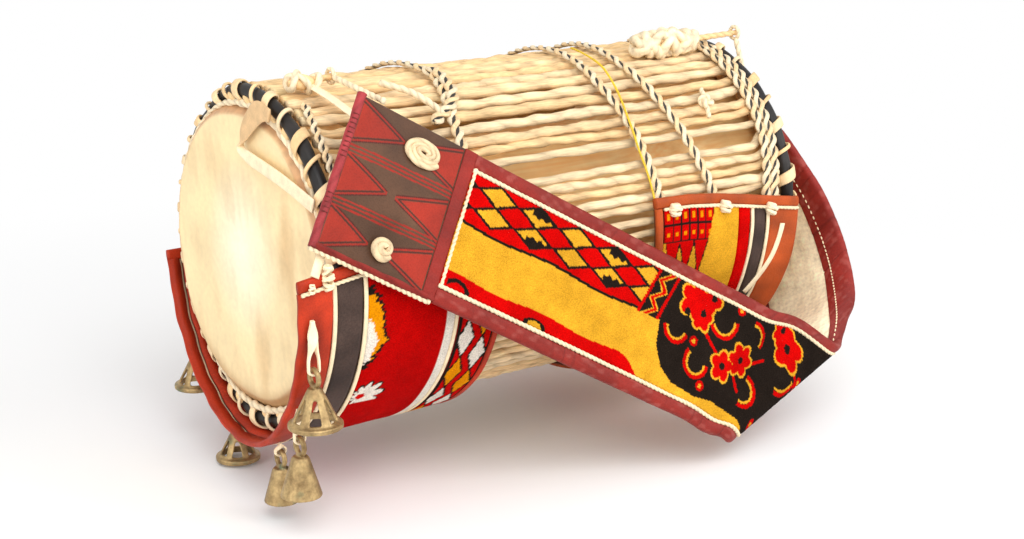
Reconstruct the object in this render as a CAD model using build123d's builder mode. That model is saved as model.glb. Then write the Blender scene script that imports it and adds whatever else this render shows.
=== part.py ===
from build123d import *
import os
from math import cos, hypot, radians, sin, sqrt, tan

# An hourglass tension drum lying on its side, in millimetres.
# The drum's axis runs along X, the near head at -X, and Z is up. The origin is under
# the cords at mid length, where a cradle carries the drum. Angles round the drum start
# at the front (-Y) and rise over the top (90) to the back (180).

# Clearances
seat_gap = 0.3            # between pieces that rest on each other
ring_gap = 0.6            # between the hem lacing and the black ring
loop_end_gap = 0.4        # between a ring loop and a fixed cord
squeeze_end_gap = 1.0     # between a ring loop and a cord that is squeezed
mid_gap = 1.8             # between the two halves of a squeezed cord
strap_seam = 0.6          # between the strap's piping and what lies beside it

# Shell
head_spacing = 370.0      # between the outer faces of the two heads
rim_inset = 3.0           # shell rim inside the flat part of the head
rim_length = 20.0
shell_wall = 8.0
waist_radius = 58.0
waist_length = 110.0
cup_pull = 60.0           # how far the cup's curve runs straight out of rim and waist

# Heads, hoops, hems and rings
skin_flat_radius = 89.0
skin_thickness = 1.0
skin_slope_depth = 5.5
skin_slope_rise = 6.5
lap_along = 7.4           # hoop and hem sit this far down the sloping skin
hoop_radius = 3.0
hem_radius = 2.6
ring_bar = 4.5
ring_depth = 5.1          # ring centre behind the face of the head
loop_bar = 1.6
loop_from = -118.0        # round the ring's bar, 0 outward and 90 towards the cords
loop_to = 100.0

# Tension cords
cord_radius = 2.8
cord_pairs = 36
first_pair = 3.0          # angle of one pair
pair_half = 2.2           # half the angle between the two cords of a pair
top_pairs = (7, 12)       # pairs counted from the first, up to but not with the last
front_pairs = (2, 7)
back_pairs = (12, 17)

# Aprons
apron_thickness = 3.0
piping_width = 1.6
near_edge_front = 28.0    # near apron's edge beyond the head, at the front
near_edge_back = 0.0
near_front_top = 5.0
near_back_top = 195.0
far_front_top = 5.0
far_back_top = 178.0
hem_angle = 3.0
edge_trim = 2.0           # leather cut away beyond the near edge
near_leather_to = -6.0                   # zones, measured from the near head inwards
near_black = (-4.0, 14.0)
near_carpet = (17.0, 79.0)
near_diamonds = (81.5, 110.0)
near_binding = (110.3, 115.0)
far_leather = (5.0, 33.0)                # zones, measured from the far head inwards
far_black = (36.0, 47.5)
far_red = (50.5, 61.0)
far_carpet = (61.3, 128.0)
far_binding = (128.3, 134.0)
knot_radius = 4.5
near_knots = (-21.0, -10.0)
far_knots = (34.0, 76.0, 120.0)

# Braids over the cords
braid_radius = 3.0
braid_from = 11.0
# name: head (-1 near, 1 far), depth behind that head, angle where the braid ends
braids = {
    "braid_near_head": (-1, 17.0, 66.0),
    "braid_near_mid": (-1, 113.0, 169.0),
    "braid_far_inner": (1, 134.0, 169.0),
    "braid_far_mid": (1, 95.0, 169.0),
    "braid_far_outer": (1, 25.0, 169.0),
}
thread_radius = 0.8
thread_depth = 127.0      # behind the far head
thread_to = 82.0

# Bells and their thongs
thong_radius = 1.3
bight_half = 3.3
eye_circle = 4.9
eye_bar = 1.6
bell_neck = 5.9           # bell's shoulder under the eye's centre
cage_wall = 1.8
cage_crown = 4.0          # metal over the hollow
cage_top = 3.8            # radius of the flat top
cage_shoulder = 5.1
cage_shoulder_drop = 2.4
flange_height = 3.0
flange_rise = 0.7         # slope on top of the flange
flange_step = 2.5         # flange beyond the cone
flange_width = 3.5
window_head = 2.0         # windows start this far under the crown
window_foot = 1.5         # and end this far over the flange
cone_wall = 1.5
cone_crown = 3.0
cone_top = 4.4
cone_shoulder = 5.4
cone_shoulder_drop = 1.4
pin_radius = 0.8
pin_below = 3.2           # pin under the top of the bell's hollow
clapper_eye = 2.0
clapper_bar = 0.7
clapper_length = 13.5
clapper_ball = 2.8
window_low = 7.0
window_high = 2.0
# name: kind, place along X beyond the near head, slit's angle, thong's drop, mouth, height
bells = {
    "bell_front_cage": ("cage", -21.0, -4.0, 32.0, 32.0, 36.0),
    "bell_front_cone": ("cone", -20.0, -35.0, 21.0, 25.0, 37.0),
    "bell_low_cone": ("cone", -14.0, -58.6, 8.0, 22.0, 34.0),
    "bell_low_cage": ("cage", 8.0, -108.7, 8.0, 29.0, 32.0),
    "bell_back_cage": ("cage", 6.0, -140.6, 9.0, 29.0, 32.0),
}

# Strap
strap_width = 94.0
strap_clear = 1.2         # between the apron and the strap
strap_rest_angle = 17.0   # where the strap's flat leg touches the drum's round
strap_slant = 31.4        # of the flat leg to the drum's axis
strap_edge = 13.0         # upper edge of the leg below the place where it touches
carpet_thickness = 3.5
lining_thickness = 1.5
binding_width = 9.0
strap_piping = 1.4
panel_start = -174.0      # along the leg
panel_length = 83.0
panel_thickness = 8.0
panel_corner = 4.0
panel_crown = 1.5
panel_crown_inset = 6.0
leg_turn_upper = 160.0    # where the leg's edges start to bend away
leg_turn_lower = 110.0
button_radius = 8.5
button_height = 5.0
button_taper = 20.0
buttons = ((47.0, 16.0), (40.0, 79.0))     # along the panel, across it
tie_radius = 2.0
tie_eye = 4.3
tie_eye_bar = 1.5
toggle_radius = 2.2
toggle_angle = 74.0
toggle_overhang = 12.0
knot_loop_bar = 2.5
knot_loop = 8.0
near_knot = (16.0, 36.0)                 # depths behind the near head
near_knot_loops = (23.0, 29.0)
far_knot = (77.0, 33.0)                  # depths behind the far head
far_knot_loops = (63.0, 55.0, 47.0)
near_toggle_length = 13.0
eye_inset = 4.0           # strap's eye in from the toggle's end
near_tie_along = 14.0     # where the near tie meets the panel's upper edge
far_tie_across = 14.0     # where the far tie meets the strap's end
# The fold and the leg back to the far head: upper edge, then lower edge, each measured
# from the far head's face and the drum's axis, chosen by hand along the strap.
strap_return = [
    ((-20.0, -138.5, -71.5), (-127.0, -161.0, -121.0)),
    ((-4.0, -149.6, -85.5), (-116.0, -162.0, -126.0)),
    ((9.0, -146.5, -88.5), (-108.0, -157.0, -131.0)),
    ((18.0, -142.0, -82.0), (-101.0, -148.0, -126.0)),
    ((27.0, -140.0, -67.0), (-70.0, -122.0, -112.0)),
    ((35.0, -126.0, -38.0), (1.0, -72.0, -105.0)),
    ((33.0, -113.7, -11.4), (18.0, -35.0, -62.0)),
    ((26.0, -99.4, 15.6), (21.0, -20.0, -35.0)),
    ((19.0, -90.8, 30.7), (17.0, -11.0, -19.0)),
    ((12.0, -85.2, 43.5), (13.0, -5.0, -6.0)),
    ((7.5, -72.0, 56.0), (9.5, 9.0, 8.0)),
]

# Thongs at the near head and a tied cord end
loose_thong_width = 9.0
loose_thong_thickness = 2.0
loose_thong_route = [(-44.5, 95.6), (-28.0, 98.0), (-13.0, 89.0), (-7.0, 74.0), (-35.0, 62.0), (-64.0, 57.5),
                     (-92.0, 50.5)]
thong_bend_share = 0.45  # of the shorter run that an arc takes up
tail_tie_depth = 61.0     # behind the far head
tail_tie_from = 38.0
tail_tie_to = 50.0

# Worked out from the sizes above
half = head_spacing / 2
slope = hypot(skin_slope_depth, skin_slope_rise)
along_d = skin_slope_depth / slope
along_r = skin_slope_rise / slope
lap_d = lap_along * along_d
lap_r = skin_flat_radius + lap_along * along_r
hoop_off = skin_thickness + seat_gap + hoop_radius
hoop_depth = lap_d + hoop_off * along_r
hoop_circle = lap_r - hoop_off * along_d
hem_off = hem_radius + seat_gap
hem_depth = lap_d - hem_off * along_r
hem_circle = lap_r + hem_off * along_d
ring_reach = hem_radius + ring_gap + ring_bar
ring_circle = hem_circle + sqrt(ring_reach ** 2 - (ring_depth - hem_depth) ** 2)
loop_circle = ring_bar + seat_gap + loop_bar
rim_radius = skin_flat_radius - rim_inset
shell_half = half - skin_thickness - seat_gap
pitch = 360.0 / cord_pairs
cord_circle = ring_circle
cord_outer = cord_circle + cord_radius
axis_height = cord_outer
loop_reach = ring_depth + loop_circle * sin(radians(loop_to)) + loop_bar
fixed_start = half - loop_reach - loop_end_gap
squeeze_start = half - loop_reach - squeeze_end_gap
apron_inner = ring_circle + loop_circle + loop_bar + seat_gap
apron_outer = apron_inner + apron_thickness
braid_circle = cord_outer + seat_gap + braid_radius
thread_circle = cord_outer + seat_gap + thread_radius
strap_thickness = carpet_thickness + seat_gap + lining_thickness
strap_rest = apron_outer + strap_clear + strap_thickness / 2
toggle_circle = cord_outer + seat_gap + knot_loop + knot_loop_bar
loose_thong_stand = loop_circle + loop_bar - ring_depth + seat_gap + loose_thong_thickness
drum_axis = Axis((0, 0, axis_height), (-1, 0, 0))

os.makedirs("parts", exist_ok=True)


def write(piece, label):
    piece.part.label = label
    export_step(piece.part, f"parts/{label}.step")


def radial(angle):
    """Unit vector out from the drum's axis at an angle round the drum."""
    return Vector(0, -cos(radians(angle)), sin(radians(angle)))


def on_drum(x, radius, angle):
    return Vector(x, 0, axis_height) + radial(angle) * radius


def axial_plane(angle):
    """Plane through the drum's axis: x along the axis, y outwards at the angle."""
    return Plane(origin=(0, 0, axis_height), x_dir=(1, 0, 0), z_dir=Vector(1, 0, 0).cross(radial(angle)))


def end_plane(x):
    """Plane across the drum at x, with Y and Z as its own directions."""
    return Plane(origin=(x, 0, axis_height), x_dir=(0, 1, 0), z_dir=(1, 0, 0))


def side(head, depth):
    """Place along X at a depth behind a head: -1 near, 1 far."""
    return head * (half - depth)


def bend_radii(route):
    """Largest arcs that fit the corners of a route, by the shorter run at each corner."""
    points = [Vector(*point) for point in route]
    radii = []
    for before, corner, after in zip(points, points[1:], points[2:]):
        arriving, leaving = corner - before, after - corner
        shorter = min(arriving.length, leaving.length)
        radii.append(thong_bend_share * shorter / tan(radians(arriving.get_angle(leaving) / 2)))
    return radii


def round_bar(label, x, circle, bar, start=0.0, end=360.0):
    """Round bar bent round the drum at x."""
    with BuildPart() as piece:
        with BuildSketch(axial_plane(start)):
            with Locations((x, circle)):
                Circle(bar)
        revolve(axis=drum_axis, revolution_arc=end - start)
    write(piece, label)


def band_section(x_from, x_to, start):
    """Section of an apron's band, in the plane where the band starts."""
    with BuildSketch(axial_plane(start)) as section:
        with Locations(((x_from + x_to) / 2, (apron_inner + apron_outer) / 2)):
            Rectangle(abs(x_to - x_from), apron_thickness)
    return section.sketch


# Shell: a hollow wooden hourglass
def cup_edge(radius_in):
    """One side of the hourglass, from the near rim to the far one."""
    rim = rim_radius - radius_in
    waist = waist_radius - radius_in
    inner_x = shell_half - rim_length
    waist_x = waist_length / 2
    Line((-shell_half, rim), (-inner_x, rim))
    Bezier((-inner_x, rim), (cup_pull - inner_x, rim), (-waist_x - cup_pull, waist), (-waist_x, waist))
    Line((-waist_x, waist), (waist_x, waist))
    Bezier((waist_x, waist), (waist_x + cup_pull, waist), (inner_x - cup_pull, rim), (inner_x, rim))
    Line((inner_x, rim), (shell_half, rim))


with BuildPart() as shell:
    with BuildSketch(axial_plane(90)):
        with BuildLine():
            cup_edge(0)
            cup_edge(shell_wall)
            Line((-shell_half, rim_radius), (-shell_half, rim_radius - shell_wall))
            Line((shell_half, rim_radius), (shell_half, rim_radius - shell_wall))
        make_face()
    revolve(axis=drum_axis)
write(shell, "shell")


# Heads with their hoops, hems, rings and ring loops
def head_skin(head, label):
    slope_out = skin_flat_radius + skin_slope_rise
    face = skin_thickness * along_r
    drop = skin_thickness * along_d
    inner_flat = skin_flat_radius - (skin_thickness - face) / along_d * along_r + drop
    with BuildPart() as piece:
        with BuildSketch(axial_plane(90)):
            with BuildLine():
                Polyline(
                    (side(head, 0), 0),
                    (side(head, 0), skin_flat_radius),
                    (side(head, skin_slope_depth), slope_out),
                    (side(head, skin_slope_depth + face), slope_out - drop),
                    (side(head, skin_thickness), inner_flat),
                    (side(head, skin_thickness), 0),
                    close=True,
                )
            make_face()
        revolve(axis=drum_axis)
    write(piece, label)


def ring_loops(head, label):
    """Short bent bars over the ring, one at each pair of cords."""
    with BuildPart() as piece:
        for pair in range(cord_pairs):
            angle = first_pair + pair * pitch
            centre = on_drum(side(head, ring_depth), ring_circle, angle)
            inward = Vector(-head, 0, 0)
            start = radial(angle) * cos(radians(loop_from)) + inward * sin(radians(loop_from))
            turn = radial(angle).cross(inward)
            with BuildSketch(Plane(origin=centre, x_dir=start, z_dir=turn.cross(start))):
                with Locations((loop_circle, 0)):
                    Circle(loop_bar)
            revolve(axis=Axis(centre, turn), revolution_arc=loop_to - loop_from)
    write(piece, label)


for head, name in ((-1, "near"), (1, "far")):
    head_skin(head, f"head_{name}_skin")
    round_bar(f"flesh_hoop_{name}", side(head, hoop_depth), hoop_circle, hoop_radius)
    round_bar(f"hem_lacing_{name}", side(head, hem_depth), hem_circle, hem_radius)
    round_bar(f"ring_{name}", side(head, ring_depth), ring_circle, ring_bar)
    ring_loops(head, f"ring_loops_{name}")


# Tension cords, in pairs from ring to ring
def cords(label, pairs, x_from, x_to):
    places = []
    for pair in range(*pairs):
        for half_step in (-pair_half, pair_half):
            spot = radial(first_pair + pair * pitch + half_step) * cord_circle
            places.append((spot.Y, spot.Z))
    with BuildPart() as piece:
        with BuildSketch(end_plane(x_from)):
            with Locations(*places):
                Circle(cord_radius)
        extrude(amount=x_to - x_from)
    write(piece, label)


under_first = back_pairs[1]
under_count = cord_pairs + front_pairs[0] - under_first
under_steps = [under_first + round(under_count * part / 3) for part in range(4)]
cords("tension_cords_top", top_pairs, -fixed_start, fixed_start)
cords("tension_cords_back_low", (under_steps[0], under_steps[1]), -fixed_start, fixed_start)
cords("tension_cords_under", (under_steps[1], under_steps[2]), -fixed_start, fixed_start)
cords("tension_cords_front_low", (under_steps[2], under_steps[3]), -fixed_start, fixed_start)
for name, pairs in (("front", front_pairs), ("back", back_pairs)):
    cords(f"squeeze_cords_{name}_near", pairs, -squeeze_start, -mid_gap / 2)
    cords(f"squeeze_cords_{name}_far", pairs, mid_gap / 2, squeeze_start)

# Braids and the thread that lie over the cords
for label, (head, depth, braid_to) in braids.items():
    round_bar(label, side(head, depth), braid_circle, braid_radius, braid_from, braid_to)
round_bar("yellow_thread", side(1, thread_depth), thread_circle, thread_radius, braid_from, thread_to)
round_bar("cord_tail_tie", side(1, tail_tie_depth), braid_circle, braid_radius, tail_tie_from, tail_tie_to)


# Aprons: leather and carpet bands round the lower half
def apron_band(label, head, zone, start, end):
    with BuildPart() as piece:
        revolve(band_section(side(head, zone[0]), side(head, zone[1]), start), drum_axis, end - start)
    write(piece, label)


def apron_binding(label, head, zone, edge, front_top, back_top):
    """Leather along the inner edge and along both top edges, in one piece."""
    inner_edge = side(head, zone[1])
    back_low = back_top - 360 - hem_angle
    with BuildPart() as piece:
        revolve(band_section(side(head, zone[0]), inner_edge, back_low), drum_axis, front_top - back_low)
        revolve(band_section(side(head, edge[0]), inner_edge, front_top), drum_axis, hem_angle)
        revolve(band_section(side(head, edge[1]), inner_edge, back_low - hem_angle), drum_axis, hem_angle)
    write(piece, label)


def apron_piping(label, head, places, start, end):
    with BuildPart() as piece:
        for place in places:
            middle = side(head, place)
            section = band_section(middle - piping_width / 2, middle + piping_width / 2, start)
            revolve(section, drum_axis, end - start)
    write(piece, label)


def between(first, second):
    return (first + second) / 2


def hem_knots(label, head, places, angle):
    with BuildPart() as piece:
        spots = [on_drum(side(head, place), apron_outer + seat_gap + knot_radius, angle) for place in places]
        with Locations(*spots):
            Sphere(knot_radius)
    write(piece, label)


low_side = near_back_top - 360 - hem_angle
near_span = (low_side + seat_gap, near_front_top - seat_gap)
edge_slope = (near_edge_front - near_edge_back) / (2 * apron_outer)
edge_middle = -half - (near_edge_front + near_edge_back) / 2
with BuildPart() as near_edge_leather:
    leather_from = -max(near_edge_front, near_edge_back) - edge_trim
    leather_section = band_section(side(-1, leather_from), side(-1, near_leather_to), near_span[0])
    revolve(leather_section, drum_axis, near_span[1] - near_span[0])
    split(bisect_by=Plane(origin=(edge_middle, 0, axis_height), z_dir=(1, -edge_slope, 0)), keep=Keep.TOP)
write(near_edge_leather, "apron_near_edge_leather")
apron_band("apron_near_black_band", -1, near_black, *near_span)
apron_band("apron_near_carpet", -1, near_carpet, *near_span)
apron_band("apron_near_diamond_strip", -1, near_diamonds, *near_span)
apron_binding("apron_near_binding", -1, near_binding, (-near_edge_front, -near_edge_back),
              near_front_top, near_back_top)
apron_piping("apron_near_piping", -1,
             (between(near_leather_to, near_black[0]), between(near_black[1], near_carpet[0]),
              between(near_carpet[1], near_diamonds[0])), *near_span)
hem_knots("apron_near_knots", -1, near_knots, near_front_top + hem_angle / 2)

far_span = (far_back_top - 360 - hem_angle + seat_gap, far_front_top - seat_gap)
apron_band("apron_far_edge_leather", 1, far_leather, *far_span)
apron_band("apron_far_black_band", 1, far_black, *far_span)
apron_band("apron_far_red_band", 1, far_red, *far_span)
apron_band("apron_far_carpet", 1, far_carpet, *far_span)
apron_binding("apron_far_binding", 1, far_binding, (far_leather[0], far_leather[0]),
              far_front_top, far_back_top)
apron_piping("apron_far_piping", 1,
             (between(far_leather[1], far_black[0]), between(far_black[1], far_red[0])), *far_span)
hem_knots("apron_far_knots", 1, far_knots, far_front_top)


# Bells on thongs through the near apron
def bell_pivot(x_beyond, slit_angle, drop):
    """Low point of the thong's bight, straight under its slit in the apron."""
    return on_drum(-half + x_beyond, apron_outer + seat_gap + thong_radius, slit_angle) - Vector(0, 0, drop)


def upright(centre):
    """Plane facing the front, with X and Z as its own directions."""
    return Plane(origin=centre, x_dir=(1, 0, 0), z_dir=(0, -1, 0))


def eye_centre(pivot):
    """Centre of the bell's eye, which hangs on the thong's bight."""
    return pivot - Vector(0, 0, eye_circle - eye_bar - thong_radius - seat_gap)


def ring_section(centre, circle, bar):
    with BuildSketch(upright(centre)) as section:
        with Locations((0, circle)):
            Circle(bar)
    return section.sketch


def cage_bell(label, pivot, mouth, height):
    """Cone with six windows over a flat ring."""
    with BuildPart() as piece:
        centre = eye_centre(pivot)
        revolve(ring_section(centre, eye_circle, eye_bar), Axis(centre, (1, 0, 0)))
        top = -bell_neck
        low = eye_circle + eye_bar - height
        flange = low + flange_height
        rim = mouth / 2
        cone = rim - flange_step
        hollow_top = top - cage_crown
        with BuildSketch(upright(centre)):
            with BuildLine():
                Polyline(
                    (0, top), (cage_top, top), (cage_shoulder, top - cage_shoulder_drop),
                    (cone, flange + flange_rise), (rim, flange), (rim, low),
                    (rim - flange_width, low), (cone - cage_wall, flange + flange_rise),
                    (cage_shoulder - cage_wall, hollow_top), (0, hollow_top),
                    close=True,
                )
            make_face()
        revolve(axis=Axis(centre, (0, 0, 1)))
        window_top = hollow_top - window_head
        window_bottom = flange + window_foot
        for turn in (30, 90, 150):
            across = Vector(cos(radians(turn)), sin(radians(turn)), 0)
            with BuildSketch(Plane(origin=centre, x_dir=across, z_dir=across.cross(Vector(0, 0, 1)))):
                with BuildLine():
                    Polyline(
                        (-window_low / 2, window_bottom), (window_low / 2, window_bottom),
                        (window_high / 2, window_top), (-window_high / 2, window_top), close=True,
                    )
                make_face()
            extrude(amount=mouth, both=True, mode=Mode.SUBTRACT)
    write(piece, label)


def cone_bell(label, pivot, mouth, height):
    """Plain cone with a cross pin inside for the clapper."""
    with BuildPart() as piece:
        centre = eye_centre(pivot)
        revolve(ring_section(centre, eye_circle, eye_bar), Axis(centre, (1, 0, 0)))
        top = -bell_neck
        low = eye_circle + eye_bar - height
        hollow_top = top - cone_crown
        rim = mouth / 2
        with BuildSketch(upright(centre)):
            with BuildLine():
                Polyline(
                    (0, top), (cone_top, top), (cone_shoulder, top - cone_shoulder_drop), (rim, low),
                    (rim - cone_wall, low), (cone_shoulder - cone_wall, hollow_top), (0, hollow_top),
                    close=True,
                )
            make_face()
        revolve(axis=Axis(centre, (0, 0, 1)))
        pin = centre + Vector(0, 0, hollow_top - pin_below)
        pin_half = cone_shoulder - cone_wall / 2 + (rim - cone_shoulder) * pin_below / (hollow_top - low)
        with BuildSketch(Plane(origin=pin - Vector(pin_half, 0, 0), x_dir=(0, 1, 0), z_dir=(1, 0, 0))):
            Circle(pin_radius)
        extrude(amount=2 * pin_half)
    write(piece, label)
    return pin


def clapper(label, pin):
    """Eye on the pin, a rod and a ball."""
    with BuildPart() as piece:
        revolve(ring_section(pin, clapper_eye, clapper_bar), Axis(pin, (1, 0, 0)))
        with BuildSketch(Plane(origin=pin, x_dir=(1, 0, 0), z_dir=(0, 0, -1)).offset(clapper_eye)):
            Circle(clapper_bar)
        extrude(amount=clapper_length - clapper_eye)
        with Locations(pin - Vector(0, 0, clapper_length)):
            Sphere(clapper_ball)
    write(piece, label)


with BuildPart() as bell_thongs:
    for kind, x_beyond, slit_angle, drop, mouth, height in bells.values():
        steepness = 90 - abs(90 - abs(slit_angle))
        top = drop + thong_radius * tan(radians(steepness / 2))
        with BuildLine(upright(bell_pivot(x_beyond, slit_angle, drop))) as route:
            FilletPolyline((-bight_half, top), (-bight_half, 0), (bight_half, 0), (bight_half, top),
                           radius=bight_half - seat_gap)
        with BuildSketch(Plane(origin=route.line @ 0, z_dir=route.line % 0)):
            Circle(thong_radius)
        sweep(path=route.line)
write(bell_thongs, "bell_thongs")

for label, (kind, x_beyond, slit_angle, drop, mouth, height) in bells.items():
    pivot = bell_pivot(x_beyond, slit_angle, drop)
    if kind == "cage":
        cage_bell(label, pivot, mouth, height)
    else:
        pin = cone_bell(label, pivot, mouth, height)
        clapper(label.replace("bell", "clapper"), pin)
    print(label, "turns at", [round(value, 3) for value in pivot])

# Strap: a flat leg that leans on the drum, a fold, and a leg back to the far head
rest_out = radial(strap_rest_angle)
rest_down = Vector(1, 0, 0).cross(rest_out)
leg_along = Vector(1, 0, 0) * cos(radians(strap_slant)) + rest_down * sin(radians(strap_slant))
leg_across = rest_down * cos(radians(strap_slant)) - Vector(1, 0, 0) * sin(radians(strap_slant))
leg_origin = Vector(0, 0, axis_height) + rest_out * strap_rest


def on_leg(along, across):
    return leg_origin + leg_along * along + leg_across * (strap_edge + across)


def from_far_head(spot):
    return Vector(half + spot[0], spot[1], axis_height + spot[2])


leg_start = panel_start + panel_length + seat_gap
stations = [
    (on_leg(leg_start, 0), on_leg(leg_start, strap_width)),
    (on_leg(leg_turn_upper, 0), on_leg(leg_turn_lower, strap_width)),
]
stations += [(from_far_head(upper), from_far_head(lower)) for upper, lower in strap_return]


def strap_frames():
    """At each station: upper edge, unit vector across, and unit vector to the lining."""
    frames = []
    last = len(stations) - 1
    for index, (upper, lower) in enumerate(stations):
        before = stations[max(index - 1, 0)]
        after = stations[min(index + 1, last)]
        ahead = ((after[0] - before[0]).normalized() + (after[1] - before[1]).normalized()).normalized()
        across = (lower - upper).normalized()
        frames.append((upper, lower, across, ahead.cross(across).normalized()))
    return frames


frames = strap_frames()


def strap_sections(from_upper, from_lower, inner, outer):
    """Sections of a strip between two distances from the strap's edges and two heights.
    A negative distance is measured from the other edge."""
    sections = []
    for upper, lower, across, lining in frames:
        left = upper + across * from_upper if from_upper >= 0 else lower + across * from_upper
        right = lower - across * from_lower if from_lower >= 0 else upper - across * from_lower
        wide = (right - left).length
        with BuildSketch(Plane(origin=left, x_dir=across, z_dir=across.cross(lining))) as section:
            with BuildLine():
                Polyline((0, inner), (wide, inner), (wide, outer), (0, outer), close=True)
            make_face()
        sections.append(section.sketch.face())
    return sections


def strap_layer(label, *strips):
    with BuildPart() as piece:
        for strip in strips:
            loft(strap_sections(*strip), ruled=True)
    write(piece, label)


face_out = -strap_thickness / 2
face_in = strap_thickness / 2
carpet_in = face_out + carpet_thickness
inside = binding_width + strap_seam
piping_out = inside + strap_piping + strap_seam
strap_layer("strap_carpet", (piping_out, piping_out, face_out, carpet_in))
strap_layer("strap_lining", (inside, inside, carpet_in + seat_gap, face_in))
strap_layer("strap_binding_upper", (0, -binding_width, face_out, face_in))
strap_layer("strap_binding_lower", (-binding_width, 0, face_out, face_in))
strap_layer("strap_piping", (inside, -inside - strap_piping, face_out, carpet_in),
            (-inside - strap_piping, inside, face_out, carpet_in))

# Padded panel at the near end, with two knotted buttons
panel_plane = Plane(origin=on_leg(panel_start + panel_length / 2, strap_width / 2) + rest_out * face_out,
                    x_dir=leg_along, z_dir=rest_out)
with BuildPart() as panel:
    with BuildSketch(panel_plane):
        RectangleRounded(panel_length, strap_width, panel_corner)
    extrude(amount=panel_thickness - panel_crown)
    chamfer(panel.faces().sort_by(Axis(panel_plane.origin, rest_out))[-1].edges(), panel_crown)
    with BuildSketch(panel_plane.offset(panel_thickness - panel_crown)):
        RectangleRounded(panel_length - 2 * panel_crown_inset, strap_width - 2 * panel_crown_inset,
                         panel_corner)
    extrude(amount=panel_crown, taper=45)
write(panel, "strap_end_panel")

with BuildPart() as panel_buttons:
    for along, across in buttons:
        spot = on_leg(panel_start + along, across) + rest_out * (face_out + panel_thickness + seat_gap)
        with BuildSketch(Plane(origin=spot, x_dir=leg_along, z_dir=rest_out)):
            Circle(button_radius)
        extrude(amount=button_height, taper=button_taper)
write(panel_buttons, "strap_panel_buttons")


# Lashing knots with the toggles that the strap turns on
def lashing_knot(label, ends, toggle_to, loops):
    """Lump of wound cord with loops round it, and a thong along X to the strap's eye."""
    middle = (ends[0] + ends[1]) / 2
    centre = on_drum(middle, toggle_circle, toggle_angle)
    with BuildPart() as piece:
        with BuildSketch(axial_plane(toggle_angle)):
            with BuildLine():
                ThreePointArc((ends[0], toggle_circle), (middle, toggle_circle + knot_loop),
                              (ends[1], toggle_circle))
                Line((ends[1], toggle_circle), (ends[0], toggle_circle))
            make_face()
            with Locations(*[(place, toggle_circle + knot_loop) for place in loops]):
                Circle(knot_loop_bar)
        revolve(axis=Axis(centre, (1, 0, 0)))
        with BuildSketch(Plane(origin=centre, x_dir=(0, 1, 0), z_dir=(1, 0, 0))):
            Circle(toggle_radius)
        extrude(amount=toggle_to - middle)
    write(piece, label)


def places(head, depths):
    return [side(head, depth) for depth in depths]


near_toggle_end = side(-1, near_knot[1]) + near_toggle_length
far_toggle_end = half + toggle_overhang
lashing_knot("lashing_knot_near", places(-1, near_knot), near_toggle_end, places(-1, near_knot_loops))
lashing_knot("lashing_knot_far", places(1, far_knot), far_toggle_end, places(1, far_knot_loops))


def strap_tie(label, x, target):
    """Eye round the toggle and a thong to the strap."""
    centre = on_drum(x, toggle_circle, toggle_angle)
    direction = (target - centre).normalized()
    with BuildPart() as piece:
        revolve(ring_section(centre, tie_eye, tie_eye_bar), Axis(centre, (1, 0, 0)))
        with BuildSketch(Plane(origin=centre + direction * tie_eye, z_dir=direction)):
            Circle(tie_radius)
        extrude(amount=(target - centre).length - tie_eye)
    write(piece, label)


end_upper, end_lower, end_across, end_lining = frames[-1]
end_ahead = end_across.cross(end_lining)
tie_stop = seat_gap + tie_radius
near_target = on_leg(panel_start + near_tie_along, 0) - leg_across * tie_stop + rest_out * face_in
far_target = end_upper + end_across * far_tie_across + end_ahead * tie_stop
strap_tie("strap_tie_near", near_toggle_end - eye_inset, near_target)
strap_tie("strap_tie_far", far_toggle_end - eye_inset, far_target)

# Flat thong that hangs in front of the near head
bends = bend_radii(loose_thong_route)
with BuildPart() as loose_thong:
    with BuildSketch(end_plane(-half - loose_thong_stand)):
        with BuildLine():
            FilletPolyline(*loose_thong_route, radius=bends)
        trace(line_width=loose_thong_width)
    extrude(amount=loose_thong_thickness)
write(loose_thong, "loose_thong_near")

print("axis height", round(axis_height, 3), "ring circle", round(ring_circle, 3))
print("loose thong bends", [round(bend, 1) for bend in bends])
print("apron outer radius", round(apron_outer, 3), "strap rest", round(strap_rest, 3))
print("strap turns at", [round(value, 3) for value in on_drum(0, toggle_circle, toggle_angle)])
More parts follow.
